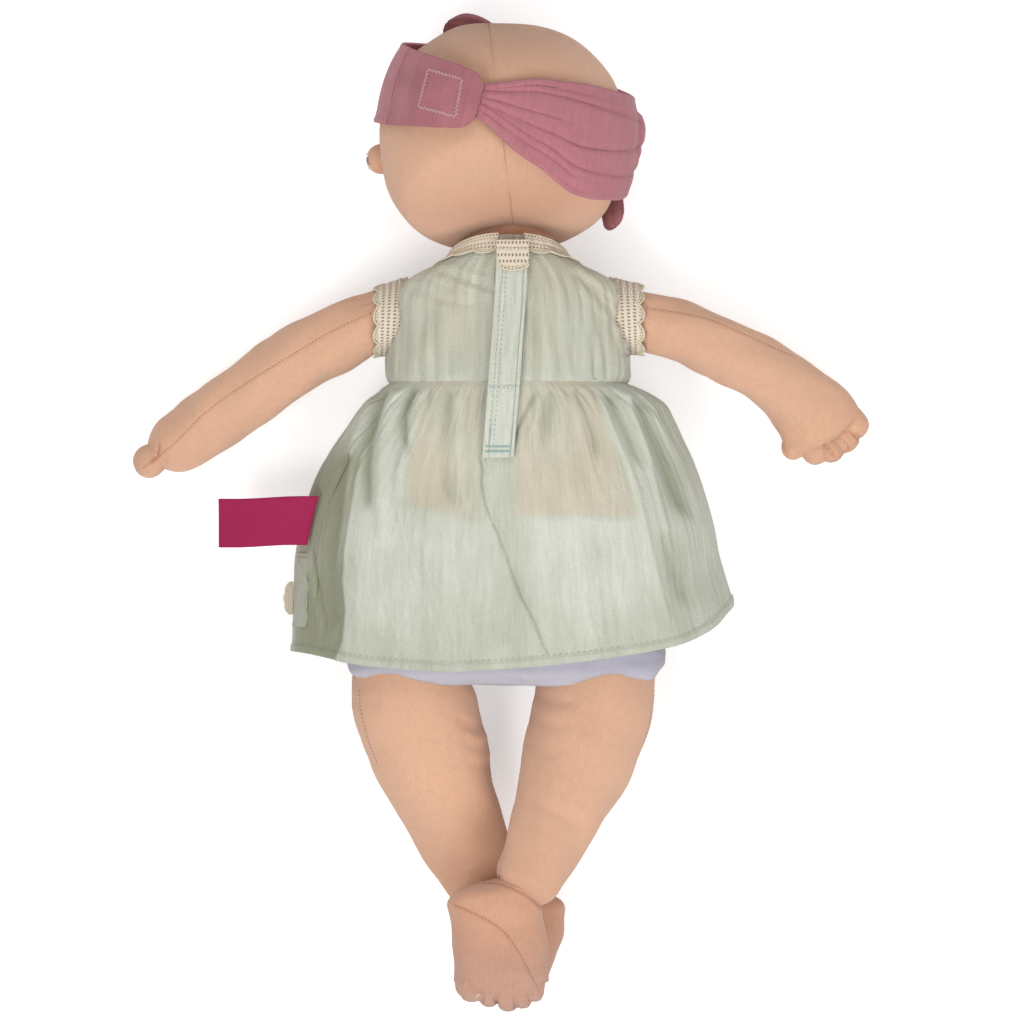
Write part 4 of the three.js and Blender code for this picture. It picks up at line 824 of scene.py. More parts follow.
for name, form in ARM.items():
    joint = SHOULDERS[name]
    shape = {
        "spine": spine_of(joint, ARM_BALL, ARM_REACH, form["spine"]), "sizes": form["sizes"],
        "width": ARM_WIDTH, "depth": ARM_WIDTH, "start_cap": ARM_BALL, "end_cap": ARM_WIDTH * form["cap"],
    }
    grid, along, turn = limb_grid(shape, 200, 150)
    balls = [(joint + np.array(f[:3]) * ARM_REACH, f[3] * FINGER_SIZE) for f in form["fingers"]]
    hand = shape["spine"][-2] * 0.35 + shape["spine"][-1] * 0.65
    grid, crease = swollen(grid, hand, balls)
    crease = 0.4 * crease * (along > 0.6)[:, None]
    normals = outward(grid)
    dimple = 0.4 * rough(along[:, None] * 130, turn[None] * 13, 5, low=14, high=36)
    grid = grid + normals * (dimple * (1 - ease(along, 0.8, 0.95))[:, None])[..., None]
    grid, splits = grooved(grid, [(places, 0.9, 0.9, 0.25) for places in form["splits"]], spacing=0.4)
    for path in splits:
        crease = np.maximum(crease, 0.8 * bump(away_from(grid, path), 0, 0.8))
    path, ups = laid_on(grid, form["seam"])
    grid = creased(grid, evened(path, 1.0), 0.22, 0.6, lip=0.06)
    tuck = bump(along, 0.12, 0.05)[:, None] * np.abs(np.sin(turn * 9 + 1))[None]
    grid = grid - normals * (0.5 * tuck)[..., None]
    near_seam = bump(away_from(grid, evened(path, 1.2)), 0, 0.7)
    # Painted shade in the finger creases and round the fingers' swellings; the mark is also warmer along the seam
    # and towards the hand.
    warm_tone_and_shade = crease + 0.22 * near_seam + 0.1 * ease(along, 0.75, 1.0)[:, None]
    arm = grid_piece(f"arm_{name}_skin", grid, marks={"warm_tone_and_shade": np.clip(warm_tone_and_shade, 0, 1)})
    dress_up(arm, skin, f"arm_{name}", f"arm_{name}", slot="skin")
    dress_up(stitches(f"arm_{name}_seam", path, ups, 0.8, 0.8, 0.13, arch=0.1), seam_thread, f"arm_{name}")
    held = [laid_on(grid, [split[0], split[-1]], spacing=0.4) for split in form["splits"]]
    rows = [stitches("row", p[1:-1], u[1:-1], 1.6, 0.8, 0.2, arch=0.4) for p, u in held]
    dress_up(joined("finger_stitches", *rows), pale_thread, f"arm_{name}")
    print(f"arm_{name}:", len(arm.data.vertices), "points")

# %% [markdown]
# The legs are rib-knit tubes that narrow to the ankle, with a few short wrinkles where the softer
# top bends. The feet are sewn on at a slant and crossed, right over left, and the right one shows
# its sole: a curved seam from heel to little toe, and five toes pulled apart by stitches.

# %% Legs and feet
HIPS = {"left": np.array([-35.3, -60.0, 27.0]), "right": np.array([39.7, -60.0, 27.0])}
LEG = {
    "left": {
        "spine": [
            [0, 0, 0], [0.005, -0.14, -0.005], [0.06, -0.33, -0.03], [0.14, -0.55, -0.07],
            [0.24, -0.78, -0.1], [0.34, -0.95, -0.11],
        ],
        "sizes": [
            [0, 0.958, 0.958], [0.19, 0.958, 0.958], [0.3, 1.02, 0.96], [0.45, 1, 0.9],
            [0.6, 0.88, 0.8], [0.75, 0.76, 0.68], [0.9, 0.67, 0.58], [1, 0.63, 0.56],
        ],
        "foot": [[0.16, 0.05, 0], [0.155, -0.19, 0], [0.02, -0.55, 0]],
        "seam": [(359, 690), (361, 711), (368, 739), (378, 766)],
        "creases": [
            ([(462, 722), (475, 728), (487, 727)], 0.5, 2.2),
            ([(466, 742), (478, 748), (490, 746)], 0.4, 2.1),
            ([(470, 764), (482, 768), (493, 764)], 0.35, 2.0),
            ([(352, 700), (364, 704), (376, 702)], 0.3, 2.0),
        ],
    },
    "right": {
        "spine": [
            [0, 0, 0], [-0.015, -0.14, 0.015], [-0.075, -0.36, 0.07], [-0.165, -0.6, 0.135],
            [-0.26, -0.82, 0.19], [-0.33, -0.95, 0.21],
        ],
        "sizes": [
            [0, 0.958, 0.958], [0.19, 0.958, 0.958], [0.3, 0.99, 0.96], [0.45, 0.96, 0.9],
            [0.6, 0.84, 0.8], [0.75, 0.68, 0.66], [0.9, 0.58, 0.56], [1, 0.56, 0.55],
        ],
        "foot": [[-0.2, 0.16, -0.02], [-0.118, -0.337, 0.02], [-0.113, -0.79, 0.035]],
        "seam": [(655, 690), (652, 712), (645, 739), (638, 757)],
        "creases": [
            ([(534, 693), (552, 700), (571, 701)], 0.5, 2.3),
            ([(530, 716), (545, 724), (562, 726)], 0.4, 2.2),
            ([(527, 742), (540, 750), (553, 752)], 0.35, 2.1),
            ([(533, 798), (556, 811), (579, 821)], 0.5, 2.4),
        ],
    },
}
TOES = np.array([(472, 1000.5, 17), (489, 1005.5, 10), (508, 1010, 10.5), (523, 1007, 8.5), (536, 1000, 8)])
TOE_SPLITS = [
    [(467, 983), (476, 988), (483, 993), (482, 1000)], [(495, 995), (498, 1004)],
    [(514, 996), (516, 1006)], [(528, 993), (531, 1002)],
]
TOE_ROOTS = [(461, 974), (474, 985), (492, 991), (512, 992), (532, 988), (543, 980)]
TOE_STITCH = [(476, 994), (483, 988)]
TOES_TOP = 978
ANKLE_SEAM = [(484, 881), (500, 882), (516, 888), (530, 896), (541, 907)]
SOLE_SEAM = [(455, 903), (470, 909), (487, 917), (504, 929), (516, 945), (528, 966), (540, 990)]


def toed(grid):
    """Draws the sole's rounded end out to a row of toes. At each place across, the end's lowest
    point goes to the lowest edge of the toes' circles there, and what lies behind goes with it."""
    px, py = in_view(grid)
    across = np.linspace(px.min(), px.max(), 400)
    low = np.array([py[np.abs(px - x) < 1.2].max() for x in across])
    toes = [
        bottom - r + np.sqrt(np.maximum(r**2 - (across - x) ** 2, 0)) - 30 * (np.abs(across - x) > r)
        for x, bottom, r in TOES
    ]
    wanted = np.maximum(np.max(toes, 0), TOES_TOP)
    beside = (across < TOES[0, 0] - 10) | (across > TOES[-1, 0] + 6)
    wanted = np.where(beside, np.minimum(wanted, np.maximum(low, TOES_TOP)), wanted)
    grow = (wanted - TOES_TOP) / np.maximum(low - TOES_TOP, 2)
    grow = np.interp(px, across, np.clip(grow, 0.2, 2.2))
    below = np.maximum(py - TOES_TOP, 0)
    drawn = grid - np.array([0, VIEW_STEP, 0]) * (below * (grow - 1))[..., None]
    lines = [(places, 0.8, 0.8, 0.2) for places in TOE_SPLITS] + [(TOE_ROOTS, 0.5, 1.6, 0.2)]
    drawn, paths = grooved(drawn, lines, spacing=0.4)
    # Marks for painted shade along the toe splits and the toe roots.
    marks = []
    for path, (_, depth, width, _) in zip(paths, lines):
        marks.append(depth * bump(away_from(drawn, path), 0, 0.9 * width))
    return drawn, np.max(marks, 0)


for name, form in LEG.items():
    joint = HIPS[name]
    spine = spine_of(joint, LEG_BALL, LEG_REACH, form["spine"])
    shape = {
        "spine": spine, "sizes": form["sizes"], "width": LEG_WIDTH, "depth": LEG_WIDTH,
        "start_cap": LEG_BALL, "end_cap": LEG_WIDTH * 0.24,
    }
    grid, along, turn = limb_grid(shape, 200, 190)
    normals = outward(grid)
    dimple = 0.5 * rough(along[:, None] * 125, turn[None] * 22, 8, low=18, high=44)
    grid = grid + normals * dimple[..., None]
    grid, _ = grooved(grid, [(*crease, 0.35 * crease[1]) for crease in form["creases"]])
    path, ups = laid_on(grid, form["seam"])
    grid = creased(grid, evened(path, 1.0), 0.35, 0.8)
    # Painted shade on the legs' lower sides and towards the ankles, more on the left leg, which lies under the
    # right one.
    low_light = ease(-unit(grid - joint)[..., 2], -0.2, 0.8) * 0.2
    near_ankle = ease(along, 0.72, 1.0)[:, None]
    warm_tone_and_shade = low_light + (0.2 if name == "left" else 0.1) * near_ankle
    leg = grid_piece(f"leg_{name}_skin", grid, marks={"warm_tone_and_shade": np.clip(warm_tone_and_shade, 0, 1)})
    dress_up(leg, skin, f"leg_{name}", f"leg_{name}", slot="skin")
    dress_up(stitches(f"leg_{name}_seam", path, ups, 0.8, 0.8, 0.13, arch=0.1), seam_thread, f"leg_{name}")
    ankle = spine[-1]
    shape = {
        "spine": ankle + np.array(form["foot"]) * FOOT_REACH,
        "sizes": [[0, 0.95, 1.02], [0.35, 0.96, 1.02], [0.7, 0.97, 0.95], [1, 0.99, 0.75]],
        "width": FOOT_WIDTH, "depth": FOOT_DEPTH, "power": 2.2,
        "start_cap": FOOT_DEPTH * 0.3, "end_cap": FOOT_DEPTH * (0.38 if name == "right" else 0.2),
    }
    grid, along, turn = limb_grid(shape, 170, 200)
    crease = np.zeros(grid.shape[:2])
    if name == "right":
        grid, crease = toed(grid)
    dimple = 0.35 * rough(grid[..., 0], grid[..., 1], 12, low=12, high=30)
    grid = grid + outward(grid) * (dimple * (1 - ease(along, 0.7, 0.85))[:, None])[..., None]
    # Painted shade in the toe creases and over the sole's lower half, on the foot's own warmer tone.
    warm_tone_and_shade = crease + 0.35 + 0.45 * ease(-grid[..., 1], 160, 185)
    rows = []
    if name == "right":
        for places in (ANKLE_SEAM, SOLE_SEAM):
            path, ups = laid_on(grid, places)
            grid = creased(grid, evened(path, 1.0), 0.3, 0.7, lip=0.1)
            warm_tone_and_shade = warm_tone_and_shade + 0.45 * bump(away_from(grid, evened(path, 1.2)), 0, 0.6)
            rows.append(stitches("foot_row", path, ups, 0.9, 0.7, 0.14, arch=0.1))
    # Painted shade over the whole foot, deepest over the sole's lower half.
    painted_shade = 0.25 + 0.65 * ease(-grid[..., 1], 158, 188)
    foot = grid_piece(f"foot_{name}_skin", grid, marks={"warm_tone_and_shade": np.clip(warm_tone_and_shade, 0, 1), "painted_shade": painted_shade})
    dress_up(foot, skin, f"leg_{name}", f"foot_{name}", slot="skin")
    if rows:
        dress_up(joined(f"foot_{name}_seams", *rows), seam_thread, f"leg_{name}")
        path, ups = laid_on(grid, TOE_STITCH, spacing=0.4)
        dress_up(stitches("toe_stitch", path, ups, 2.4, 1.0, 0.26, arch=0.5), pale_thread, f"leg_{name}")
    print(f"leg_{name}:", len(leg.data.vertices), "points, foot:", len(foot.data.vertices))

# %% [markdown]
# Under the dress lie a stuffed pillow of a torso, a ball of a neck and a plump nappy of white
# jersey, with flat round ends of cloth that the arms and legs are sewn to. Barrels of ovals give
# the torso and the nappy. Where a joint's ball would sit inside one, the skin is pressed in to the
# ball, so that head, arms and legs can turn in their sockets.

# %% Torso, neck and nappy


def disc_piece(name, centre, radius, thickness):
    """A flat round end of cloth about a joint's centre, with a rounded rim."""
    t = np.linspace(0.02, math.pi - 0.02, 24)[:, None]
    a = round_turns(60)[None]
    flat = np.sin(t) ** 0.25
    disc = np.stack([radius * flat * np.cos(a), radius * flat * np.sin(a), thickness / 2 * np.cos(t) + 0 * a], -1)
    return grid_piece(name, centre + disc)


TAB_THICKNESS = 1.6
for kind, places, radius in (("shoulder", SHOULDERS, 8.6), ("hip", HIPS, 19)):
    for side, centre in places.items():
        body = f"shoulder_{side}" if kind == "shoulder" else "hips"
        tab = disc_piece(f"{kind}_tab_{side}_cloth", centre, radius, TAB_THICKNESS)
        dress_up(tab, skin, body, f"{kind}_tab_{side}", slot="skin")


def barrel_grid(form, shares, turns, inset=0.0):
    """Ovals square to the body's length. The table gives each row's half width, lift, half depth
    and lean, and a turn of 0 is the doll's right side."""
    width, lift, depth, leaning = share_rows(form["rows"], shares).T
    c, s = np.cos(turns), np.sin(turns)
    reach = oval_reach(c, s, form["power"])
    x = (form["width"] / 2 * width - inset)[:, None] * (c * reach)
    z = (form["depth"] / 2 * depth - inset)[:, None] * (s * reach)
    y = form["bottom"] + (form["top"] - form["bottom"]) * shares
    leant = leaning[:, None] * z * np.where(z > 0, 1, form.get("front_lean", 1))
    return np.stack([form["x"] + x, y[:, None] + leant, form["z"] + (lift * form["depth"])[:, None] + z], -1)


def rounded(grid, rows=14, bulge=2.0):
    """Closes both open ends of a barrel by rings that shrink to the middle and bulge a little."""
    shrink = np.linspace(0.04, 0.98, rows)[:, None, None]
    parts = []
    for ring, way in ((grid[0], -1), (grid[-1], 1)):
        middle = ring.mean(0)
        part = middle + (ring - middle) * shrink + np.array([0, way * bulge, 0]) * np.sqrt(1 - shrink**2)
        parts.append(part if way < 0 else part[::-1])
    return np.vstack([parts[0], grid, parts[1]])


def pressed(grid, middle, balls):
    """Draws each point that lies within a ball in along its ray from a middle, to the near side."""
    out = grid - middle
    reach = np.linalg.norm(out, axis=-1)
    way = out / reach[..., None]
    for ball, radius in balls:
        towards = np.asarray(ball, float) - middle
        along = way @ towards
        inside = radius**2 - (towards @ towards - along**2)
        half = np.sqrt(np.maximum(inside, 0))
        reach = np.where((inside > 0) & (reach > along - half) & (reach < along + half), along - half, reach)
    return middle + way * reach[..., None]


NECK = np.array([3.6, 104.0, 40.0])
NECK_SIZE, NECK_SOCKET, ROOM = 19.5, 20.3, 0.4
TORSO = {
    "x": 3.6, "z": 34.0, "width": 94.0, "depth": 58.0, "bottom": -37.4, "top": 101.0, "power": 2.3,
    "rows": [
        [0, 0.78, -0.065, 0.5, 0], [0.05, 0.95, -0.06, 0.82, 0], [0.16, 1, -0.03, 0.95, 0],
        [0.34, 1, -0.01, 0.98, 0],
        [0.55, 0.96, 0, 0.97, 0], [0.68, 0.89, 0.005, 0.94, 0], [0.76, 0.78, 0.012, 0.9, 0.02],
        [0.84, 0.755, 0.03, 0.85, 0.06],
        [0.91, 0.7, 0.05, 0.78, 0.12], [0.96, 0.5, 0.08, 0.66, 0.18], [1, 0.4, 0.1, 0.62, 0.2],
    ],
}
grid = rounded(barrel_grid(TORSO, np.linspace(0, 1, 110), round_turns(160)))
sockets = [(NECK, NECK_SOCKET)]
sockets += [(middle, ARM_BALL + ROOM) for middle in SHOULDERS.values()]
sockets += [(middle, LEG_BALL + ROOM) for middle in HIPS.values()]
torso = grid_piece("torso_skin", pressed(grid, np.array([3.6, 25.0, 34.0]), sockets))
dress_up(torso, skin, "body", "torso", slot="skin")

t = np.linspace(0.03, math.pi - 0.03, 90)[:, None]
a = round_turns(140)[None]
puckers = NECK_SIZE - 0.35 * np.abs(np.sin(a * 11 + 0.6 * np.sin(3 * t))) * np.sin(t) ** 2
ball = np.stack([np.sin(t) * np.cos(a), -np.cos(t) + 0 * a, np.sin(t) * np.sin(a)], -1)
grid = NECK + puckers[..., None] * ball
neck = grid_piece("neck_skin", grid, marks={"warm_tone_and_shade": np.full(grid.shape[:2], 0.3)})
dress_up(neck, skin, "neck", "neck", slot="skin")

NAPPY = {
    "x": 2.2, "z": 32.6, "width": 128.0, "depth": 58.0, "bottom": -68.2, "top": 6.0, "power": 2.6,
    "rows": [
        [0, 0.9, -0.01, 0.62, 0], [0.05, 0.965, -0.01, 0.82, 0], [0.15, 1, 0, 0.95, 0],
        [0.35, 0.99, 0, 1, 0], [0.6, 0.92, 0, 1, 0], [0.85, 0.84, 0, 1.02, 0], [1, 0.8, 0, 1.03, 0],
    ],
}
NAPPY_TINTS = [("painted_shade", rgb(166, 162, 176), 1.0)]
nappy_jersey = cloth_finish("nappy_jersey", rgb(190, 189, 201), "jersey", 0.8, 0.08, 0.92, 0.2, 0.12, NAPPY_TINTS)
way_down = [np.array([0, step, 0]) for step in (0, 5, 10)]
legs = [(middle - step, LEG_BALL + ROOM) for middle in HIPS.values() for step in way_down]
grid = barrel_grid(NAPPY, np.linspace(0, 1, 130), round_turns(270))
grid = np.vstack([rounded(grid, 40, 1.5)[: 40], grid])
wrinkle = rough(grid[..., 0], grid[..., 1] * 3, 21, low=14, high=40)
wrinkle = wrinkle * (0.3 + 0.25 * ease(-grid[..., 1], 40, 60))
grid = grid + outward(grid, away=(2.2, -30, 32.6)) * wrinkle[..., None]
grid = pressed(grid, np.array([2.2, -25.0, 32.6]), legs)
# Painted shadow on the nappy just below the skirt's hem.
under_hem = 0.75 * (1 - ease(-grid[..., 1], 61.5, 66.5)) * ease(grid[..., 2], 20, 40)
nappy = grid_piece("nappy_cloth", grid, capped=False, away=(2.2, -25, 32.6), marks={"painted_shade": under_hem})
thick(nappy, 2.0)
HIP_BEND = ((0.0022, -0.02, 0.03), (0.0022, -0.06, 0.03))
dress_up(nappy, nappy_jersey, ("body", "hips"), "nappy", slot="nappy_jersey", bend=HIP_BEND)
print("nappy:", len(nappy.data.vertices), "points")

# %% [markdown]
# The dress is double gauze: two thin open weaves caught together, so the cloth crinkles lengthwise
# by itself. The bodice is cut in one front and two backs round the armholes. The grid's rows run
# across, and each row starts and stops where the armhole's curve crosses it.

# %% Bodice
sage_gauze = cloth_finish(
    "sage_gauze", rgb(197, 200, 186), "gauze", 0.8, 0.2, 0.95, 0.2, 0.36,
    [("pale", rgb(210, 212, 200), 0.9), ("sheer", rgb(203, 190, 169), 0.75), ("shade", rgb(148, 150, 126), 1.0)],
)
sage_thread = thread_finish("sage_thread", rgb(178, 184, 166))
BODICE = {
    "x": 3.6, "z": 34.8, "width": 97.0, "depth": 66.8, "bottom": 52.0, "top": 99.5, "power": 2.2, "front_lean": 0.4,
    "rows": [
        [0, 1, 0, 1, 0], [0.25, 1, 0, 0.99, 0], [0.5, 0.985, 0, 0.965, 0.02],
        [0.7, 0.965, 0.012, 0.92, 0.07],
        [0.83, 0.86, 0.035, 0.85, 0.16], [0.91, 0.63, 0.06, 0.78, 0.3], [0.95, 0.53, 0.07, 0.74, 0.38],
        [1, 0.48, 0.08, 0.7, 0.46],
    ],
}
ARMHOLE = 17.0
BODICE_HEIGHT = 47.5
BODY_MIDDLE = np.array([3.6, 30.0, 34.0])


def armhole_turn(shares, start, stop, side):
    """For each row, the last turn between start and stop that still lies within the armhole."""
    turns = np.linspace(start, stop, 400)
    grid = barrel_grid(BODICE, shares, turns)
    inside = np.linalg.norm(grid - SHOULDERS[side], axis=-1) < ARMHOLE
    return np.where(inside.any(1), turns[len(turns) - 1 - np.argmax(inside[:, ::-1], 1)], start)


def bodice_panel(first, final, columns, crinkle_seed):
    """A panel between two turns. A row's ends give way to the armholes."""
    shares = np.linspace(0, 1, 120)
    place = np.linspace(0, 1, columns)
    begin, end = first(shares), final(shares)
    turns = begin[:, None] + (end - begin)[:, None] * place
    grid = np.stack([barrel_grid(BODICE, shares[k : k + 1], turns[k])[0] for k in range(len(shares))])
    out = outward(grid, False, BODY_MIDDLE)
    across = BODICE["width"] / 2 * turns
    pleats = rough(across, grid[..., 1] * 0.13, crinkle_seed, 9, 2.6, 6.5)
    swell = rough(across, grid[..., 1], crinkle_seed + 1, 6, 22, 48)
    calm = (1 - 0.75 * ease(shares, 0.74, 0.9))[:, None]
    waist = bump(shares, 0, 0.03)[:, None]
    uv = np.stack([across, BODICE_HEIGHT * shares[:, None] + 0 * across], -1)
    relief = 0.45 * pleats * calm * (1 - waist) + 0.5 * swell * calm * (1 - waist) - 0.1 * waist
    return grid + out * relief[..., None], uv


def bodice_piece(name, grid, uv, node):
    """A bodice panel of gauze, with more skin showing through where it lies close."""
    slubs = rough(uv[..., 0], uv[..., 1] * 0.05, 33, 9, 2.2, 6.0)
    close = 0.45 + 0.2 * rough(grid[..., 0], grid[..., 1], 31, low=20, high=60) + 0.16 * slubs
    close = close * (1 - 0.7 * bump(uv[..., 1], 3, 7))
    streaks = 0.2 + 0.13 * rough(uv[..., 0], 0.06 * uv[..., 1], 32, low=2.4, high=8)
    streaks = streaks - 0.1 * bump(grid[..., 1], BODICE["bottom"], 3)
    marks = {"sheer": np.clip(close, 0, 1), "shade": np.clip(streaks, 0, 1)}
    piece = sheet_piece(name, grid, BODY_MIDDLE, 1.2, marks=marks, uv=uv)
    dress_up(piece, sage_gauze, "body", node, slot="dress_gauze")
    cut_size(grid, np.mean)
    print(name, "cut:", [round(v, 3) for v in cut_size(grid, np.mean)])


opening_turn = math.pi / 2 + 0.02
QUARTER = math.pi / 2
right_hole = lambda shares: armhole_turn(shares, 0, QUARTER, "right")
left_hole = lambda shares: armhole_turn(shares, math.pi, QUARTER, "left")
front_right_hole = lambda shares: armhole_turn(shares, 0, -QUARTER, "right")
front_left_hole = lambda shares: armhole_turn(shares, -math.pi, -QUARTER, "left")
still = lambda turn: lambda shares: np.full(len(shares), turn)
grid, uv = bodice_panel(right_hole, still(opening_turn), 150, 41)
pulls = [
    ([(578, 277), (600, 300), (618, 322)], 1.0, 1.8, 0.4),
    ([(590, 284), (612, 302), (626, 316)], 0.6, 1.5, 0.24),
]
grid, _ = grooved(grid, pulls, False, away=BODY_MIDDLE)
bodice_piece("bodice_right_gauze", grid, uv, "bodice_back_right")
grid, uv = bodice_panel(still(opening_turn + 0.006), left_hole, 150, 51)
pulls = [
    ([(442, 273), (468, 282), (492, 290)], 0.8, 1.6, 0.32),
    ([(418, 290), (440, 300), (470, 306)], 0.5, 1.6, 0.2),
]
grid, _ = grooved(grid, pulls, False, away=BODY_MIDDLE)
bodice_piece("bodice_left_gauze", grid, uv, "bodice_back_left")
grid, uv = bodice_panel(front_right_hole, front_left_hole, 240, 61)
bodice_piece("bodice_front_gauze", grid, uv, "bodice_front")

# %% [markdown]
# The skirt is gathered to the waist and falls over the nappy behind and onto the floor in front.
# A simulated drape would rest on the nappy in much the same folds, but the formula keeps the seam,
# the hem and the folds where the pieces sewn to them need them.

# %% Skirt
SKIRT_WIDTH, SKIRT_LENGTH, SKIRT_HEIGHT, SKIRT_TOP = 177.0, 115.0, 65.0, 51.6
SKIRT_ROWS = [
    [0, 0.545, 0.545, 0.535, 1.05, 2.2, 2.2], [0.09, 0.7, 0.665, 0.5, 1.045, 2.2, 2.6],
    [0.17, 0.75, 0.735, 0.44, 1.03, 2.3, 3],
    [0.26, 0.793, 0.82, 0.36, 1.01, 2.4, 3.4], [0.35, 0.836, 0.878, 0.28, 1, 2.5, 3.8],
    [0.5, 0.89, 0.935, 0.19, 1, 2.6, 4],
    [0.65, 0.932, 0.97, 0.15, 1, 2.6, 4], [0.8, 0.96, 0.975, 0.12, 1, 2.6, 4],
    [1, 1.02, 0.985, 0.1, 0.98, 2.6, 4],
]
HEM = [
    [0, 0.757], [20, 0.8], [35, 0.866], [48, 0.915], [66, 0.955], [85, 0.985], [105, 1], [125, 0.985],
    [148, 0.945], [180, 0.935],
    [205, 0.935], [225, 0.945], [245, 0.97], [270, 0.985], [300, 0.925], [315, 0.865], [330, 0.8],
    [345, 0.765], [360, 0.757],
]
LEFT_SEAM = math.radians(148)
SKIRT_MIDDLE = (3.6, 0, 30)
HEM_ROW = 163
CENTRE_SEAM = [
    (481, 458), (484, 470), (483, 480), (487, 504), (502, 540), (520, 590), (532, 614), (548, 652),
]


def skirt_length(turn):
    """The skirt is shorter at its sides, and most at the right one."""
    return SKIRT_LENGTH * share_rows(HEM, np.degrees(turn))[..., 0]


def skirt_place(turn, share, lift=0.0):
    """A point of the skirt: a turn of 0 is the right side, and a share of 0 the waist. Behind, ovals
    stand on the side seam's height. In front they hang from it and are pressed flat by the floor."""
    turn, share = np.broadcast_arrays(np.asarray(turn, float), np.asarray(share, float))
    right, left, seam, back, back_power, front_power = np.moveaxis(share_rows(SKIRT_ROWS, share), -1, 0)
    behind = np.sin(turn) >= 0
    seam_z = seam * SKIRT_HEIGHT
    height = np.where(behind, back * SKIRT_HEIGHT - seam_z, seam_z + 0.5)
    power = np.where(behind, back_power, front_power)
    folds = np.where(behind, 6, 4)
    uneven = 1 - 0.25 * (1 - np.sin(3 * turn + 1))
    wave = (0.5 - 0.5 * np.cos(folds * 2 * turn)) * uneven * ease(share, 0.25, 1) * 4
    c, s = np.cos(turn), np.sin(turn)
    reach = oval_reach(c, s, power)
    x = (np.where(c > 0, right, left) * SKIRT_WIDTH / 2 + lift) * c * reach
    z = (height + np.where(behind, wave, 0) + lift) * s * reach
    return np.stack([3.6 + x, SKIRT_TOP - share * skirt_length(turn), np.maximum(seam_z + z, -lift)], -1)


def on_skirt(turn, y, lift):
    """The place on the skirt's face at a turn and a distance along the doll."""
    return skirt_place(turn, (SKIRT_TOP - y) / skirt_length(turn), lift)


def along_lines(px, py, lines):
    """Soft marks along lines in the straight-down view, each (places, width, strength): a bump across
    the line, and a rise and a fall of strength at its two ends."""
    total = 0
    for places, width, strength in lines:
        x, y = np.asarray(places, float).T
        held = ease(py, y[0] - 3, y[0] + 9) * (1 - ease(py, y[-1] - 14, y[-1] + 8))
        total = total + strength * held * bump(px, np.interp(py, y, x), width)
    return total


HOLLOWS = [
    ([(388, 386), (376, 412), (368, 440), (366, 470), (368, 508)], 6, 1.5),
    ([(417, 384), (410, 398), (403, 416), (404, 436), (408, 454)], 4.5, 1.4),
    ([(447, 388), (446, 420), (444, 450), (446, 485), (455, 506)], 5.5, 0.8),
    ([(346, 452), (336, 480), (332, 520), (326, 560), (326, 595), (331, 624)], 6.5, 1.5),
    ([(534, 391), (531, 402), (523, 417), (516, 432), (513, 448)], 2.2, 0.9),
    ([(551, 389), (549, 402), (546, 422), (545, 446)], 5.5, 1.0),
    ([(574, 385), (577, 396), (586, 412), (593, 432), (598, 460)], 3.2, 1.0),
    ([(607, 390), (616, 412), (630, 440), (641, 466)], 6.5, 1.2),
    ([(637, 398), (650, 430), (662, 455), (673, 485), (687, 516)], 9, 1.3),
    ([(666, 530), (675, 570), (686, 604)], 9, 0.8),
    ([(309, 545), (312, 570), (316, 600), (322, 625), (325, 636)], 1.6, 0.8),
    ([(430, 386), (428, 410)], 2.6, 0.6),
    ([(468, 390), (466, 420), (462, 440)], 3, 0.5),
    ([(591, 388), (597, 405), (603, 420)], 2.4, 0.6),
    ([(655, 404), (668, 425), (676, 445)], 3, 0.5),
]
RIDGES = [
    ([(404, 385), (392, 402), (386, 430), (383, 460), (382, 500), (384, 545)], 7, 1.5),
    ([(427, 387), (417, 412), (409, 440), (400, 470), (396, 498)], 4.5, 0.8),
    ([(458, 389), (458, 420), (457, 455), (460, 485), (468, 512)], 4.5, 0.7),
    ([(374, 398), (360, 425), (351, 450), (347, 480), (346, 520), (340, 562)], 4.5, 0.8),
    ([(540, 391), (538, 410), (531, 432), (527, 456)], 4.5, 0.8),
    ([(570, 393), (577, 415), (584, 445), (592, 472), (601, 500)], 4.5, 0.8),
    ([(597, 392), (611, 428), (625, 460), (637, 490), (645, 530), (655, 572), (668, 622)], 3.2, 0.7),
    ([(624, 392), (640, 430), (650, 466), (660, 510), (675, 562)], 3.2, 0.7),
    ([(652, 412), (680, 460), (695, 500), (712, 552)], 3.6, 0.5),
    ([(306, 545), (308, 570), (312, 600), (318, 630)], 2, 0.5),
    ([(396, 500), (404, 540), (420, 585), (440, 640)], 1.5, 0.3),
    ([(422, 540), (432, 590), (450, 645)], 1.3, 0.3),
    ([(452, 560), (466, 610), (482, 652)], 1.3, 0.3),
    ([(376, 560), (388, 610), (402, 650)], 1.4, 0.3),
    ([(575, 540), (583, 600), (597, 645)], 1.6, 0.25),
    ([(612, 540), (622, 600), (636, 640)], 1.6, 0.25),
]
FOLD_EDGE = [
    (400, 385), (383, 405), (372, 430), (362, 455), (356, 480), (351, 520), (345, 560), (343, 580),
    (346, 610),
    (343, 640), (337, 658),
]
FOLD_DEPTH = 1.6
SHEER_RIGHT = [(597, 380), (611, 428), (625, 460), (637, 490), (645, 530), (655, 572), (668, 660)]
SHEER_LEFT = [(418, 380), (410, 440), (402, 470), (404, 530)]


def view_steps(grid):
    """Places of grid points in the straight-down view, and whether they lie on the back."""
    return *in_view(grid), ease(grid[..., 2], 12, 24)


def right_of(px, py, line):
    """How far places lie to the right of a line, in view steps."""
    x, y = np.asarray(line, float).T
    return px - np.interp(py, y, x)


def behind_fold(px, py, near, far, low):
    """Rises from 0 to 1 from the left fold's edge to the left, and from the fold's start down."""
    return ease(-right_of(px, py, FOLD_EDGE), near, far) * ease(py, 425, low)


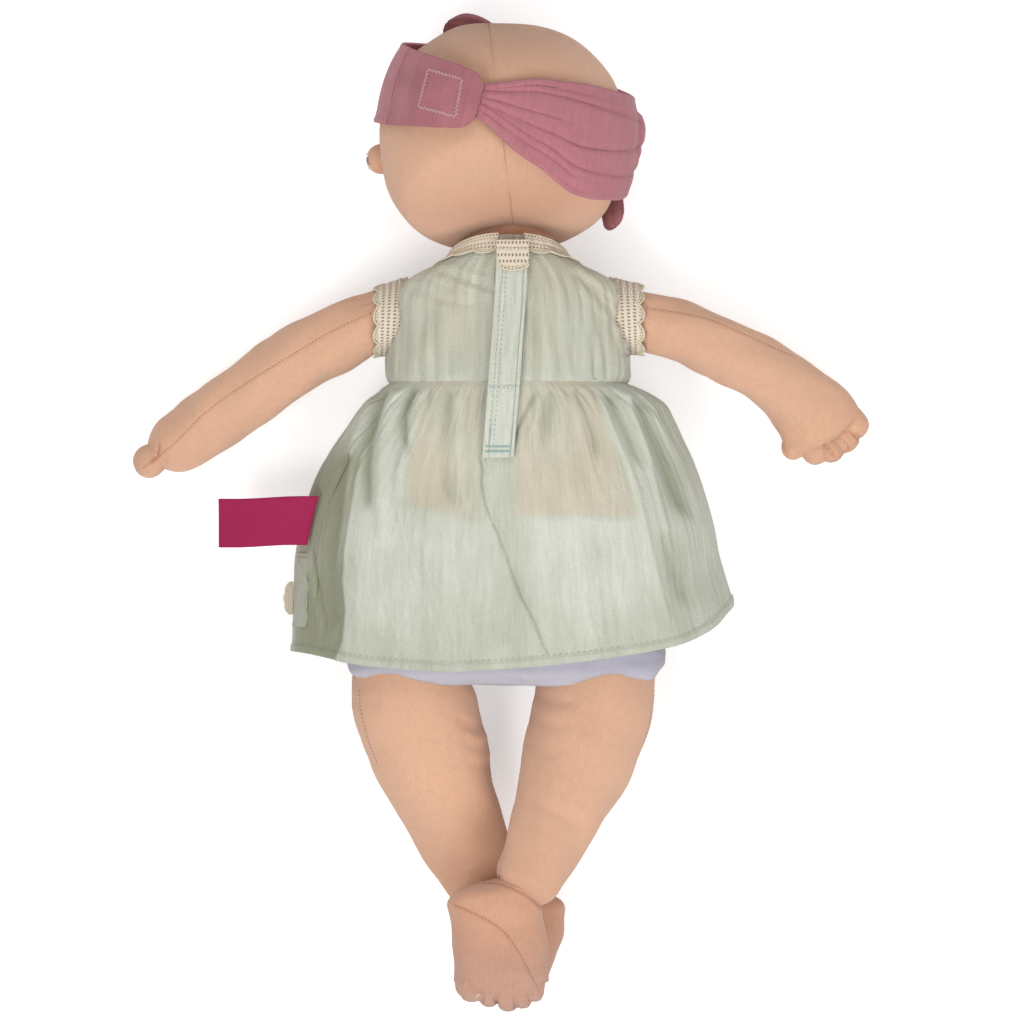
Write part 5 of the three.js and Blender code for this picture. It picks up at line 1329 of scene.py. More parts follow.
def skirt_tints(grid, turn, share):
    """Skin that shows through the gauze over the small of the back, the paler cloth over the nappy,
    and painted shade in the folds' hollows, behind the left fold's edge and in a band near the right
    side, with painted light on the ridges and at the far right. The cloth is also darker towards the
    hem and on the front panel."""
    px, py, back = view_steps(grid)
    wander = rough(grid[..., 0], grid[..., 1], 14, low=14, high=50)
    low = np.where(px < 490, 501 + 0.28 * (px - 404), 516) + 1.5 * wander
    past = right_of(px, py, SHEER_RIGHT)
    right = ease(px, 504, 530) * (1 - ease(past, -18, 6))
    left = ease(right_of(px, py, SHEER_LEFT), -5, 18) * (1 - ease(px, 470, 492))
    left = left * (1 - 0.35 * bump(px, 465, 10))
    patches = np.clip(0.85 + 0.25 * rough(grid[..., 0], 0.4 * grid[..., 1], 15, low=8, high=40), 0.3, 1)
    # Painted shade along the hollows of the drawn folds, and painted light along their ridges.
    folds = along_lines(px, py, HOLLOWS) - 0.6 * along_lines(px, py, RIDGES)
    sheer = (right + left) * (1 - ease(py - low, -4, 3)) * patches
    pale_left = ease(px, 352, 380) * (1 - ease(px, 462, 492)) * 0.5
    pale_right = ease(px, 526, 548) * (1 - ease(past, -14, 8))
    pale = ease(py - low, -1, 8) * (pale_left + pale_right) * (1 - 0.5 * ease(py, 590, 660))
    # Painted shade on the cloth that lies lower behind the left fold's edge.
    behind = behind_fold(px, py, -0.5, 2.5, 470)
    # Painted shade in a band near the right side, and painted light beyond it at the far right.
    lower_right = 0.1 * ease(px, 640, 670) - 0.24 * ease(px, 680, 705)
    streaks = 0.05 * rough(88 * turn, 10 * share, 16, 9, 5, 18) + 0.06 * wander + 0.2 * ease(share, 0.7, 0.92)
    shade = 0.1 + 0.46 * np.clip(folds, -0.25, 2) + behind * 0.75 + lower_right + streaks
    shade = np.clip(shade, 0, 1) * back + 0.2 * (1 - back)
    return {"sheer": sheer * back, "pale": pale * back, "shade": shade}


def skirt_panel(start, stop, columns, seed):
    """A panel of the skirt with its crinkles, gathers at the waist, drawn folds and a turned-up hem."""
    share = np.linspace(-0.012, 1, 170)[:, None]
    turn = np.linspace(start, stop, columns)[None]
    grid = skirt_place(turn, share)
    out = outward(grid, False, SKIRT_MIDDLE)
    across = SKIRT_WIDTH / 2 * turn + 0 * share
    along = share * SKIRT_LENGTH + 0 * turn
    clear = ease(grid[..., 2], 1.2, 5)
    begun = ease(share, -0.002, 0.05)
    pleats = rough(across, along * 0.11, seed, 10, 3.0, 8.0)
    gather = rough(across, along * 0.05, seed + 1, 8, 5, 11) * (1 - ease(share, 0.02, 0.26)) * begun
    swell = rough(across, along * 0.5, seed + 2, 6, 26, 60) * ease(share, 0.1, 0.5)
    hem = ease(share, 0.968, 0.974) * 0.55 - 0.3 * bump(share, 0.968, 0.004)
    seen_side = 0.3 + 0.7 * ease(np.abs(out[..., 2]), 0.1, 0.6)
    px, py, back = view_steps(grid)
    drawn = along_lines(px, py, RIDGES) - along_lines(px, py, HOLLOWS)
    behind = behind_fold(px, py, -1, 5, 480)
    relief = (0.12 + 0.1 * (1 - ease(share, 0.1, 0.4))) * pleats + seen_side * (0.4 * gather + 0.5 * swell)
    relief = relief + back * begun * (1.5 * drawn - FOLD_DEPTH * behind)
    tucked = -0.6 * (1 - ease(share, -0.004, 0.02))
    return grid + out * ((relief * begun + hem) * clear + tucked)[..., None], skirt_tints(grid, turn, share)


def skirt_piece(name, grid, marks):
    """A panel of gauze, baked where it stands, whose cut size is printed."""
    piece = sheet_piece(f"{name}_gauze", grid, SKIRT_MIDDLE, 1.1, marks=marks)
    dress_up(piece, sage_gauze, ("body", "hips"), name, slot="dress_gauze", bend=HIP_BEND)
    cut_size(grid, np.max)
    print(name, "cut:", [round(v, 3) for v in cut_size(grid, np.max)])


def hem_row(grid, part):
    """Machine stitches along a part of the hem's row."""
    out = outward(grid, False, SKIRT_MIDDLE)[HEM_ROW, part]
    return stitches("hem_row", grid[HEM_ROW, part] + out * 0.1, out, 1.2, 1.2, 0.17)


grid, marks = skirt_panel(0.003, LEFT_SEAM - 0.002, 280, 71)
path, _ = laid_on(grid, CENTRE_SEAM, closed=False, away=SKIRT_MIDDLE)
grid = creased(grid, path + np.array([0.5, 0, 0]), -1.2, 0.9, False, 0, SKIRT_MIDDLE)
grid = creased(grid, path + np.array([-1.0, 0, 0]), 0.7, 0.6, False, 0, SKIRT_MIDDLE)
# Painted shade in a narrow line beside the centre seam's ridge.
beside_seam = bump(away_from(grid, path + np.array([-0.9, 0, 0])), 0, 0.6)
marks["shade"] = np.clip(marks["shade"] + 0.7 * beside_seam, 0, 1)
skirt_piece("skirt_back", grid, marks)
hem_rows = [hem_row(grid, slice(None))]
grid, marks = skirt_panel(LEFT_SEAM + 0.002, TAU - 0.003, 260, 81)
skirt_piece("skirt_front", grid, marks)
hem_rows.append(hem_row(grid, slice(44)))
dress_up(joined("skirt_hem_stitches", *hem_rows), sage_thread, ("body", "hips"), bend=HIP_BEND)

# %% [markdown]
# The dress closes behind with a free strip over two tapes, one of tiny hooks and one of loops. The
# strip swings open on its own edge. It is a flat grid that follows the back's height at each row,
# and its machine stitches are laid on it afterwards.

# %% Closing strip and tapes


STRIP_MIDDLE, STRIP_TOP, STRIP_LENGTH, STRIP_DRIFT, STRIP_BEGIN = 2.4, 99.5, 78, 6, 0.02


def bodice_row(y, column):
    """A column of the bodice's table at distances along the doll."""
    share = np.clip((y - BODICE["bottom"]) / (BODICE["top"] - BODICE["bottom"]), 0, 1)
    return share_rows(BODICE["rows"], share)[..., column]


def dress_back(x, y):
    """Height of the dress's back above the floor: the bodice's barrel, or the skirt's upper ovals."""
    middle, bottom, power = BODICE["x"], BODICE["bottom"], BODICE["power"]
    width, lift, depth = [bodice_row(y, k) for k in range(3)]
    across = np.minimum(np.abs((x - middle) / (BODICE["width"] / 2 * width)), 1)
    round_back = BODICE["depth"] / 2 * depth * (1 - across**power) ** (1 / power)
    upper = BODICE["z"] + lift * BODICE["depth"] + round_back
    rows = share_rows(SKIRT_ROWS, np.clip((bottom - y) / SKIRT_LENGTH, 0, 1))
    right, left, seam, back, power, _ = np.moveaxis(rows, -1, 0)
    across = np.minimum(np.abs((x - middle) / (np.where(x > middle, right, left) * SKIRT_WIDTH / 2)), 1)
    lower = SKIRT_HEIGHT * (seam + (back - seam) * (1 - across**power) ** (1 / power))
    return np.where(y >= bottom, upper, lower)


def on_back(x, y, lift, leaning):
    """The place a lift above the dress's back, at least as high as at the closing's middle line."""
    height = np.maximum(dress_back(x, y), dress_back(STRIP_MIDDLE + 0 * x, y))
    return np.stack([x, y + leaning * BODICE["depth"] * 0.35, height + lift], -1)


def back_strip(width, start, stop, lift, rows, columns):
    """A strip down the back: it drifts to the left and keeps its lift above the cloth beneath."""
    share = np.linspace(start, stop, rows)[:, None]
    place = np.linspace(-0.5, 0.5, columns)[None]
    y = STRIP_TOP - share * STRIP_LENGTH + 0 * place
    x = STRIP_MIDDLE + (0.5 - share) * STRIP_DRIFT + place * width
    return on_back(x, y, lift, np.maximum(bodice_row(y, 3), 0))


tape_finish = cloth_finish("fastening_tape", rgb(226, 226, 221), "gauze", 0.5, 0.25, 0.85, 0.1, 0.1)


def tape_piece(name, grid, away, body):
    """A woven fastening tape: a thin stiff strip."""
    tape = sheet_piece(f"{name}_woven", grid, away, 0.6, 1)
    dress_up(tape, tape_finish, body, name, slot="fastening_tape")


UNDER_BACK = (4, 60, -50)
for name, body, lift in [("loop_tape", "body", 0.4), ("hook_tape", "closing", 1.6)]:
    grid = back_strip(7, 0.1, 0.52, lift, 60, 16)
    grid = grid + 0.12 * UP * rough(grid[..., 0], grid[..., 1], 5, low=0.8, high=1.6)[..., None]
    tape_piece(name, grid, UNDER_BACK, body)

grid = back_strip(12.6, STRIP_BEGIN, 1.0, 2.8, 200, 34)
share, place = np.linspace(STRIP_BEGIN, 1, 200)[:, None], np.linspace(-0.5, 0.5, 34)[None]
wave = 0.25 * rough(grid[..., 0], grid[..., 1] * 0.5, 91, low=5, high=14)
wave = wave + 0.5 * bump(place, -0.5, 0.09) * (1 - ease(share, 0.7, 0.95))
seam_groove = -0.35 * (bump(place, -0.3, 0.035) + bump(place, 0.36, 0.035) + bump(share, 0.63, 0.004))
sink = -1.2 * ease(share, 0.9, 1) - 0.35 * bump(share, 0.93, 0.05) - 0.9 * ease(place, 0.25, 0.5)
grid = grid + UP * (wave + seam_groove + sink)[..., None]
slubs = rough(grid[..., 0], 0.1 * grid[..., 1], 92, low=1.6, high=5)
strip_marks = {"pale": 0.5 + 0 * slubs, "shade": np.clip(0.05 + 0.08 * slubs, 0, 1)}
strip = sheet_piece("placket_gauze", grid, UNDER_BACK, 1.1, 1, strip_marks)
dress_up(strip, sage_gauze, "closing", "placket", slot="dress_gauze")
up = np.broadcast_to(UP, grid[:, 0].shape)
face = grid + 1.2 * UP
rows = [stitches("row", face[4:190, c], up[4:190], 0.8, 1.1, 0.17) for c in (6, 11, 28)]
rows += [stitches("row", face[127, 3:31], up[:28], 0.8, 0.9, 0.16)]
rows += [zigzag("row", face[k, 3:31], up[:28], 1.3, 0.9, 0.15) for k in (187, 192)]
rows += [zigzag("row", face[168:186, c], up[:18], 0.9, 1.2, 0.14) for c in (6, 28)]
dress_up(joined("placket_stitches", *rows), teal_thread, "closing")

# %% [markdown]
# The lace is crochet: a chain along its foot, posts standing on the chain, and fans of thicker yarn
# that end in little points. Each strand is a real tube, because lace is seen against skin and cloth
# through its own holes. The pattern is drawn flat, and a place function carries it onto the doll.

# %% Crochet lace


def yarns(name, paths, ups, radius, sides=5):
    """Tubes along many paths at once: each ring stands square to its path."""
    paths, ups = np.asarray(paths, float), np.asarray(ups, float)
    count, stops = paths.shape[:2]
    ahead = unit(np.gradient(paths, axis=1))
    side = unit(np.cross(ahead, ups))
    top = np.cross(side, ahead)
    turn = round_turns(sides)
    ring = np.cos(turn)[:, None] * side[:, :, None] + np.sin(turn)[:, None] * top[:, :, None]
    points = paths[:, :, None] + radius * ring
    one = grid_faces(stops, sides, True)[:, ::-1]
    size = stops * sides
    faces = (one[None] + size * np.arange(count)[:, None, None]).reshape(-1, 4).tolist()
    caps = np.array([np.arange(sides), size - 1 - np.arange(sides)])
    faces += (caps[None] + size * np.arange(count)[:, None, None]).reshape(-1, sides).tolist()
    return link(name, points.reshape(-1, 3), faces)


def lace(name, place, fans, radius=0.36, foot=0.3):
    """Crochet over a strip: place(u, v) gives points and outward directions for u along 0..1 and
    v across 0..1. A close net with rows of small painted holes ends in soft scallops, edged by a chain."""
    def drawn(u, v, thick_yarn):
        points, ups = place(u, v)
        return yarns("yarn", points, ups, thick_yarn)

    count = fans * 24
    along = np.linspace(0, 1, count + 1)[:, None]
    scallops = lambda u: 0.76 + 0.18 * np.abs(np.sin(math.pi * fans * u)) ** 0.7
    rise = scallops(along) * np.linspace(0, 1, 12)[None]
    points, ups = place(along + 0 * rise, rise)
    both = np.concatenate([points - ups * 0.05, (points - ups * 0.5)[:, ::-1]], 1)
    flat = np.concatenate([rise, rise[:, ::-1], rise[:, :1]], 1)
    net_map = np.stack([along * max(fans * 6, 9) + 0 * flat, flat * 5.2], -1)
    net = grid_piece(f"{name}_net", both, uv=net_map)
    t = np.linspace(0, 1, 9)[None]
    chain = np.arange(fans * 6)[:, None] / (fans * 6)
    edge = chain + t / (fans * 6)
    parts = [drawn(edge, scallops(edge) + 0.035 * np.sin(math.pi * t), radius)]
    parts.append(drawn(edge, scallops(edge) - 0.07, radius * 0.8))
    for level in (0.03, foot):
        parts.append(drawn(edge, level + 0.015 * np.sin(t * TAU) + 0 * edge, radius * 0.85))
    return net, joined(name, *parts)


def net_finish():
    """Cream crochet net: the map counts stitches, and each stitch has a small round hole in painted
    shade, a brown that stands for the skin and cloth beneath. Every second row is set half a stitch
    over, and the yarn round the holes stands up a little."""
    made = thread_finish("crochet_net", rgb(228, 217, 197), 0.85)
    tree = made.node_tree
    base = tree.nodes["Principled BSDF"]
    cloth_map = tree.nodes.new("ShaderNodeUVMap")
    cloth_map.uv_map = "cloth"
    across, rise = split(tree, cloth_map.outputs[0])[:2]
    row = maths(tree, "FLOOR", rise)
    over = maths(tree, "MULTIPLY", maths(tree, "MODULO", row, 2.0), 0.5)
    x = maths(tree, "SUBTRACT", maths(tree, "FRACT", maths(tree, "ADD", across, over)), 0.5)
    y = maths(tree, "SUBTRACT", maths(tree, "FRACT", rise), 0.5)
    squares = maths(tree, "MULTIPLY", x, x), maths(tree, "MULTIPLY", y, y)
    gap = maths(tree, "SQRT", maths(tree, "ADD", *squares))
    hole = maths(tree, "MULTIPLY_ADD", gap, -9.0, 2.6, clamp=True)
    mix = tree.nodes.new("ShaderNodeMix")
    mix.data_type = "RGBA"
    mix.inputs[7].default_value = rgb(158, 128, 106)
    wire(tree, (hole, mix.inputs[0]), (base.inputs["Base Color"].links[0].from_socket, mix.inputs[6]))
    wire(tree, (mix.outputs[2], base.inputs["Base Color"]))
    relief = tree.nodes.new("ShaderNodeBump")
    relief.inputs["Distance"].default_value = 0.35 * MM
    wire(tree, (maths(tree, "SUBTRACT", 1.0, hole), relief.inputs["Height"]))
    wire(tree, (relief.outputs[0], base.inputs["Normal"]))
    return made


def between(table, row, column):
    """A table's value between its rows and columns, read evenly from the four nearest."""
    i, j = row.astype(int), column.astype(int)
    down, part = [np.reshape(v, v.shape + (1,) * (table.ndim - 2)) for v in (row - i, column - j)]
    upper = table[i, j] * (1 - part) + table[i, j + 1] * part
    lower = table[i + 1, j] * (1 - part) + table[i + 1, j + 1] * part
    return upper * (1 - down) + lower * down


crochet_net = net_finish()
turns, shares = np.linspace(0, TAU, 241), np.linspace(1, 0, 301)
below_neckline = barrel_grid(BODICE, shares, turns, -1.3)
distance = np.vstack([np.zeros(241), np.cumsum(np.linalg.norm(np.diff(below_neckline, axis=0), axis=2), 0)])
ups = outward(below_neckline, False, BODY_MIDDLE)
OPEN_RIGHT, OPEN_LEFT = math.radians(14), math.radians(9)


def collar_place(u, v):
    """Round the neckline from one side of the closing to the other, flat on the bodice: for each
    turn, the row whose way down from the neckline is as long as v asks."""
    u, v = np.broadcast_arrays(u, v)
    turn = np.mod(math.pi / 2 - OPEN_RIGHT - u * (TAU - OPEN_RIGHT - OPEN_LEFT), TAU) / TAU * 240
    ways = (v * 8.5 - 0.3).ravel(), turn.astype(int).ravel()
    row = np.array([np.interp(way, distance[:, k], np.arange(301)) for way, k in zip(*ways)]).reshape(v.shape)
    return between(below_neckline, row, turn), between(ups, row, turn)


def strip_lace_place(u, v):
    """Across the top of the closing strip."""
    u, v = np.broadcast_arrays(u, v)
    x = STRIP_MIDDLE + (0.5 - STRIP_BEGIN) * STRIP_DRIFT + (u - 0.5) * 13
    y = STRIP_TOP - 1.2 - v * 6.6
    return on_back(x, y, 4.6, bodice_row(y, 3)), np.broadcast_to(np.array([0, 0.3, 1.0]), (*u.shape, 3))


places = [("collar", collar_place, 18, "body"), ("placket", strip_lace_place, 1, "closing")]
for name, place, fans, body in places:
    net, edging = lace(f"{name}_crochet", place, fans)
    dress_up(net, crochet_net, body, f"{name}_lace", slot="crochet_lace")
    dress_up(edging, cream_yarn, body)

for name, shoulder in SHOULDERS.items():
    outwards = unit(np.array(ARM[name]["spine"][1]))

    def sleeve_place(u, v, shoulder=shoulder, outwards=outwards):
        """Round the armhole: rings about the shoulder that step out along the arm."""
        u, v = np.broadcast_arrays(u, v)
        inward = (1 - v) * (5.2 + 1.4 * np.cos(u * TAU))
        reach = np.sqrt(16.6**2 - inward**2) - 0.2 - 2.5 * v
        ring = np.stack([0 * u, np.cos(u * TAU), np.sin(u * TAU)], -1)
        inside = np.stack([np.sign(shoulder[0]) * inward, 0 * u, 0 * u], -1)
        return shoulder + ring * reach[..., None] + outwards * (v * 8)[..., None] - inside, ring

    net, edging = lace(f"armhole_crochet_{name}", sleeve_place, 11, radius=0.38, foot=0.2)
    bodies = ("body", f"shoulder_{name}")
    bend = [tuple((shoulder + outwards * reach) * MM) for reach in (-2, 10)]
    dress_up(net, crochet_net, bodies, f"armhole_lace_{name}", slot="crochet_lace", bend=bend)
    dress_up(edging, cream_yarn, bodies, bend=bend)
    print(f"armhole lace {name}:", len(edging.data.vertices), "points of chain")

# %% [markdown]
# A bare ribbon is folded double and caught in the left side seam, and beside it sits a small patch
# pocket with lace along its outer edge. The ribbon runs out, turns over at its end and comes back.

# %% Ribbon tag and pocket
magenta = cloth_finish("ribbon_weave", rgb(157, 26, 76), "ribs", 0.7, 0.06, 0.6, 0.04, 0.16)
turn_over = np.linspace(0, math.pi, 10)[1:-1]
RIBBON_WIDTH, RIBBON_REACH = 19.5, 37.2
way_out, way_back = np.linspace(0, RIBBON_REACH, 40), np.linspace(RIBBON_REACH, 0.4, 40)
level = np.concatenate([np.full(40, 1.45), 0.75 + 0.7 * np.cos(turn_over), np.full(40, 0.05)])
place = np.linspace(-0.5, 0.5, 26)[None]
run = np.concatenate([way_out, RIBBON_REACH + 0.75 * np.sin(turn_over), way_back])[:, None]
root = on_skirt(LEFT_SEAM + math.radians(5), -3.5 + place * RIBBON_WIDTH, 0.4)
far = run / 38
grid = np.stack([
    root[..., 0] * (1 - far) + root[..., 0].mean() * far - run,
    root[..., 1] - far * RIBBON_WIDTH * 0.05 + 0.25 * np.sin(run / 6),
    root[..., 2] + level[:, None] - far**2 * 12 + 0.3 * far * np.sin(place * 5 + run / 9),
], -1)
grid = grid - 0.12 * UP * bump(np.abs(place), 0.47, 0.02)[..., None]
tag = sheet_piece("ribbon_loop", grid, grid.reshape(-1, 3).mean(0), 0.35)
dress_up(tag, magenta, "label", "ribbon_tag", slot="ribbon")

FIRST, LAST = math.radians(154), math.radians(172)
POCKET_TOP, POCKET_HEIGHT = -16.0, 30.0
POCKET_SIDE = (3.6, -30, 30)
turn, y = np.linspace(FIRST, LAST, 50)[None], POCKET_TOP - np.linspace(0, POCKET_HEIGHT, 70)[:, None]
grid = on_skirt(turn + 0 * y, y + 0 * turn, 0.75)
side_edge = np.minimum(turn - FIRST, LAST - turn) * 88
edge = np.minimum(side_edge, np.minimum(POCKET_TOP - y, y - POCKET_TOP + POCKET_HEIGHT))
lifted = 0.25 * rough(grid[..., 1], grid[..., 2], 33, low=5, high=12) - 0.4 * bump(edge, 1.6, 0.4)
flush = 1 - ease(edge, 0, 2.5)
px, py, back = view_steps(grid)
behind = behind_fold(px, py, -1, 5, 480)
relief = lifted - 0.3 * flush - FOLD_DEPTH * behind * back
grid = grid + outward(grid, False, POCKET_SIDE) * relief[..., None]
patch = sheet_piece("pocket_gauze", grid, POCKET_SIDE, 0.5, marks={"shade": 0.5 + 0.1 * lifted})
dress_up(patch, sage_gauze, "body", "pocket", slot="dress_gauze")


def pocket_place(u, v):
    """Along the pocket's outer edge: the lace lies out past the edge and droops a little."""
    u, v = np.broadcast_arrays(u, v)
    y = POCKET_TOP - (0.4 + 0.44 * u) * POCKET_HEIGHT
    root = on_skirt(LAST + math.radians(1.6) + 0 * u, y, 0.4)
    out = v * 4 * (0.2 + 0.8 * np.sqrt(1 - 0.98 * (2 * u - 1) ** 2))
    places = np.stack([root[..., 0] - out, y, root[..., 2] + 0.5 - out * 0.3], -1)
    return places, np.broadcast_to(np.array([-0.3, 0, 1.0]), (*u.shape, 3))


net, edging = lace("pocket_crochet", pocket_place, 3, radius=0.24)
dress_up(net, crochet_net, "body", "pocket_lace", slot="crochet_lace")
dress_up(edging, cream_yarn, "body")

# %% [markdown]
# The headband is a wide strip of the same double gauze, pinched narrow under its fastening tab and
# spread wide over the ear. Every point stands a set lift above the head, measured in turns round
# the band's own tilted axis, so that the band could be drawn off the crown without catching.

# %% Headband
BAND_TILT = math.radians(14)
BAND_AXIS = np.array([math.sin(BAND_TILT), math.cos(BAND_TILT), 0.0])
BAND_RIGHT = np.array([math.cos(BAND_TILT), -math.sin(BAND_TILT), 0.0])
EARS = {side: head_way(x, -0.04, -0.1) for side, x in (("left", -0.985), ("right", 0.985))}
EAR_REACH = {"left": 6.0, "right": 2.7}


def inside_head(points):
    """Whether points lie within the head or a little button of room round each ear."""
    away = points - HEAD_MIDDLE
    far = np.linalg.norm(away, axis=-1)
    inside = far < head_reach(away / np.maximum(far, 1e-9)[..., None])
    for side, way in EARS.items():
        gap = points - (HEAD_MIDDLE + way * head_reach(way))
        along = gap @ way
        flat = np.linalg.norm(gap - along[..., None] * way, axis=-1)
        inside |= np.hypot(along / (EAR_REACH[side] + 0.35), flat / 7.2) < 1
    return inside


def band_reach(turn, height):
    """How far the head reaches at a turn, at this height or anywhere above it up to the crown."""
    above = height + (46 - height) * (np.arange(9) / 9).reshape(-1, *[1] * height.ndim)
    turn = np.broadcast_to(turn, above.shape)
    way = np.sin(turn)[..., None] * BAND_RIGHT + np.cos(turn)[..., None] * UP
    root = HEAD_MIDDLE + above[..., None] * BAND_AXIS
    inner = np.zeros(above.shape)
    for stop in np.linspace(4, 72, 35):
        inner = np.where(inside_head(root + way * stop), stop, inner)
    outer = inner + 2
    for _ in range(8):
        middle = (inner + outer) / 2
        hit = inside_head(root + way * middle[..., None])
        inner, outer = np.where(hit, middle, inner), np.where(hit, outer, middle)
    return inner.max(0)


REACH_TURNS = np.radians(np.arange(-64, 306, 2))
REACH_HEIGHTS = np.linspace(-20, 38, 40)
reach_table = band_reach(REACH_TURNS[:, None], REACH_HEIGHTS[None] + 0 * REACH_TURNS[:, None])
print("head's reach under the band:", reach_table.min().round(1), "to", reach_table.max().round(1), "mm")


def on_band(turn, height, lift):
    """The place at a turn and a height along the band's axis, a lift above the clear reach."""
    turn, height, lift = np.broadcast_arrays(*[np.asarray(v, float) for v in (turn, height, lift)])
    stops = []
    for value, steps in ((turn, REACH_TURNS), (height, REACH_HEIGHTS)):
        stops.append(np.clip((value - steps[0]) / (steps[1] - steps[0]), 0, len(steps) - 1.001))
    reach = (between(reach_table, *stops) + lift)[..., None]
    way = np.sin(turn)[..., None] * BAND_RIGHT + np.cos(turn)[..., None] * UP
    return HEAD_MIDDLE + height[..., None] * BAND_AXIS + reach * way


BAND_EDGES = [
    [-32, 0.055, 0.18], [-14, 0.055, 0.185], [10, -0.06, 0.26], [25, -0.11, 0.28], [40, -0.17, 0.295],
    [65, -0.15, 0.3], [90, -0.1, 0.305], [120, -0.02, 0.335], [150, 0.08, 0.37], [180, 0.13, 0.38],
    [210, 0.1, 0.36], [240, 0.02, 0.325], [270, -0.055, 0.295], [297, -0.07, 0.27],
]
BAND_FOLDS = [
    (0.14, 0.03, 0.6, 46), (0.27, 0.04, 0.9, 250), (0.47, 0.05, 1.1, 250), (0.6, 0.03, 0.7, 34),
    (0.8, 0.04, 0.9, 95), (0.91, 0.02, 0.4, 60),
]
TAB_EDGES = [
    [-62, -0.07, 0.27], [-40, -0.055, 0.25], [-25, -0.03, 0.235], [-18, -0.01, 0.22], [-14, 0.03, 0.18],
]
MAUVE_TINTS = [("shade", rgb(146, 84, 94), 1.0)]
mauve_gauze = cloth_finish("mauve_gauze", rgb(180, 116, 124), "gauze", 0.75, 0.2, 0.95, 0.2, 0.36, MAUVE_TINTS)


def band_grid(edges, lift, columns, rows):
    """The band between its lower and upper edges, with columns along it and rows across it."""
    turn = np.linspace(edges[0][0], edges[-1][0], columns)
    lower, upper = share_rows(edges, turn).T
    v = np.linspace(0, 1, rows)[:, None]
    height = (lower + (upper - lower) * v) * HEAD_SIZE[1]
    return on_band(np.radians(turn)[None], height, lift(turn[None], v)), turn


def band_stand(turn, v):
    """How far the folded band stands off the head at the doll's right, most at its upper edge."""
    return 3.2 * ease(turn, 45, 80) * (1 - ease(turn, 100, 140)) * (0.3 + 0.7 * v)


def band_dips(turn, v):
    """Narrow sharp folds that fan out from the pinch, with smooth lanes between them."""
    folds = 0
    for middle, wander, strength, fade in BAND_FOLDS:
        line = middle + wander * np.sin(np.radians(turn) * 1.9 + 9 * middle)
        fold = bump(v, line, 0.02 + 0.014 * ease(turn, 20, 90))
        folds = folds + strength * fold * (1 - ease(turn, fade - 25, fade + 10))
    reach = ease(turn, -16, 0) * (1 - 0.5 * ease(turn, 25, 75)) * (1 - ease(turn, 225, 262))
    return folds * reach


def band_lift(turn, v):
    """The band's lift above the head: rounded lanes between the folds, and a smooth left part."""
    smooth = 1 - ease(turn, 225, 262)
    lanes = 0.5 + 0.5 * rough(v * 30 + 2 * np.sin(np.radians(turn) * 1.9), turn * 0.05, 46, 6, 6, 16)
    pinch = 0.9 * bump(turn, -6, 14) * (0.5 + 0.5 * np.sin(TAU * 4.5 * v))
    hem = 0.3 * (bump(v, 0.015, 0.02) + bump(v, 0.985, 0.02))
    flare = 5 * ease(turn, 235, 285) * v**2
    body = 0.7 + 0.9 * smooth + 0.45 * smooth * lanes - 1.1 * band_dips(turn, v)
    crinkles = 0.15 * rough(turn, v * 30, 44, low=9, high=26) * smooth
    return np.maximum(body, 0.3) + band_stand(turn, v) + flare + pinch + hem + crinkles


def tab_lift(turn, v):
    """The tab's lift above the head: over the band at its right end, and off the hair at its left."""
    flare = 5 * (1 - ease(turn, -62, -30)) * v**2
    return 0.7 + 4.4 * ease(turn, -60, -36) + flare + 0.15 * rough(turn, v * 20, 45, low=8, high=20)


grid, turn = band_grid(BAND_EDGES, band_lift, 520, 84)
dips = band_dips(turn[None], np.linspace(0, 1, 84)[:, None])
band = sheet_piece("headband_gauze", grid, HEAD_MIDDLE, 1.2, 1, {"shade": np.clip(0.55 * dips, 0, 1)})
dress_up(band, mauve_gauze, "headband", "headband", slot="headband_gauze")
grid, turn = band_grid(TAB_EDGES, tab_lift, 110, 60)
tab_shade = 0.22 + 0.12 * rough(grid[..., 0], grid[..., 1], 47, low=6, high=20)
tab = sheet_piece("headband_tab_gauze", grid, HEAD_MIDDLE, 1.3, 1, {"shade": tab_shade})
dress_up(tab, mauve_gauze, "headband_end", "headband_tab", slot="headband_gauze")
square = [(431, 77), (463, 87), (457, 123), (422, 113), (431, 77)]
rows = []
for begin, end in zip(square, square[1:]):
    path, ups = laid_on(grid, [begin, end], closed=False, away=HEAD_MIDDLE, lift=1.4)
    rows.append(zigzag("row", path, ups, 1.3, 1.5, 0.16))
dress_up(joined("headband_tab_stitches", *rows), pink_thread, "headband_end")
BAND_LIFT = 2.7
tapes = [("headband_loop_tape", "headband", BAND_LIFT), ("headband_hook_tape", "headband_end", 3.9)]
for name, body, lift in tapes:
    turn, v = np.radians(-23 + np.linspace(-8.5, 8.5, 40))[None], np.linspace(-0.5, 0.5, 30)[:, None]
    grid = on_band(turn + 0 * v, HEAD_SIZE[1] * 0.118 + v * 16 * 0.62, lift)
    tape_piece(name, grid, HEAD_MIDDLE, body)

# %% [markdown]
# At the brow the band is tied: a knot with a short ear and a longer tail. Each is a flattened bag
# of gauze carried along a curve, with lengthwise folds that run into the knot.

# %% Knot, ear and tail
knot_out = on_band(math.pi, HEAD_SIZE[1] * 0.29, BAND_LIFT + 0.4 + 4)
button_out = unit(knot_out - HEAD_MIDDLE)


def button_grid(middle, out, rise, reach, width, height, rows=70, columns=90, relief=None):
    """A flattened ball about a middle, as CAD gives it, with relief along its outward direction."""
    side = unit(np.cross(rise, out))
    top = np.cross(out, side)
    t = np.linspace(0.03, math.pi - 0.03, rows)[:, None]
    a = round_turns(columns)[None]
    x, y, z = np.sin(t) * np.cos(a), np.sin(t) * np.sin(a), np.cos(t) + 0 * a
    grow = 1 if relief is None else relief(x, y, z)
    parts = (side, x * width), (top, y * height), (out, z * reach)
    return middle + sum(way * (far * grow)[..., None] for way, far in parts)


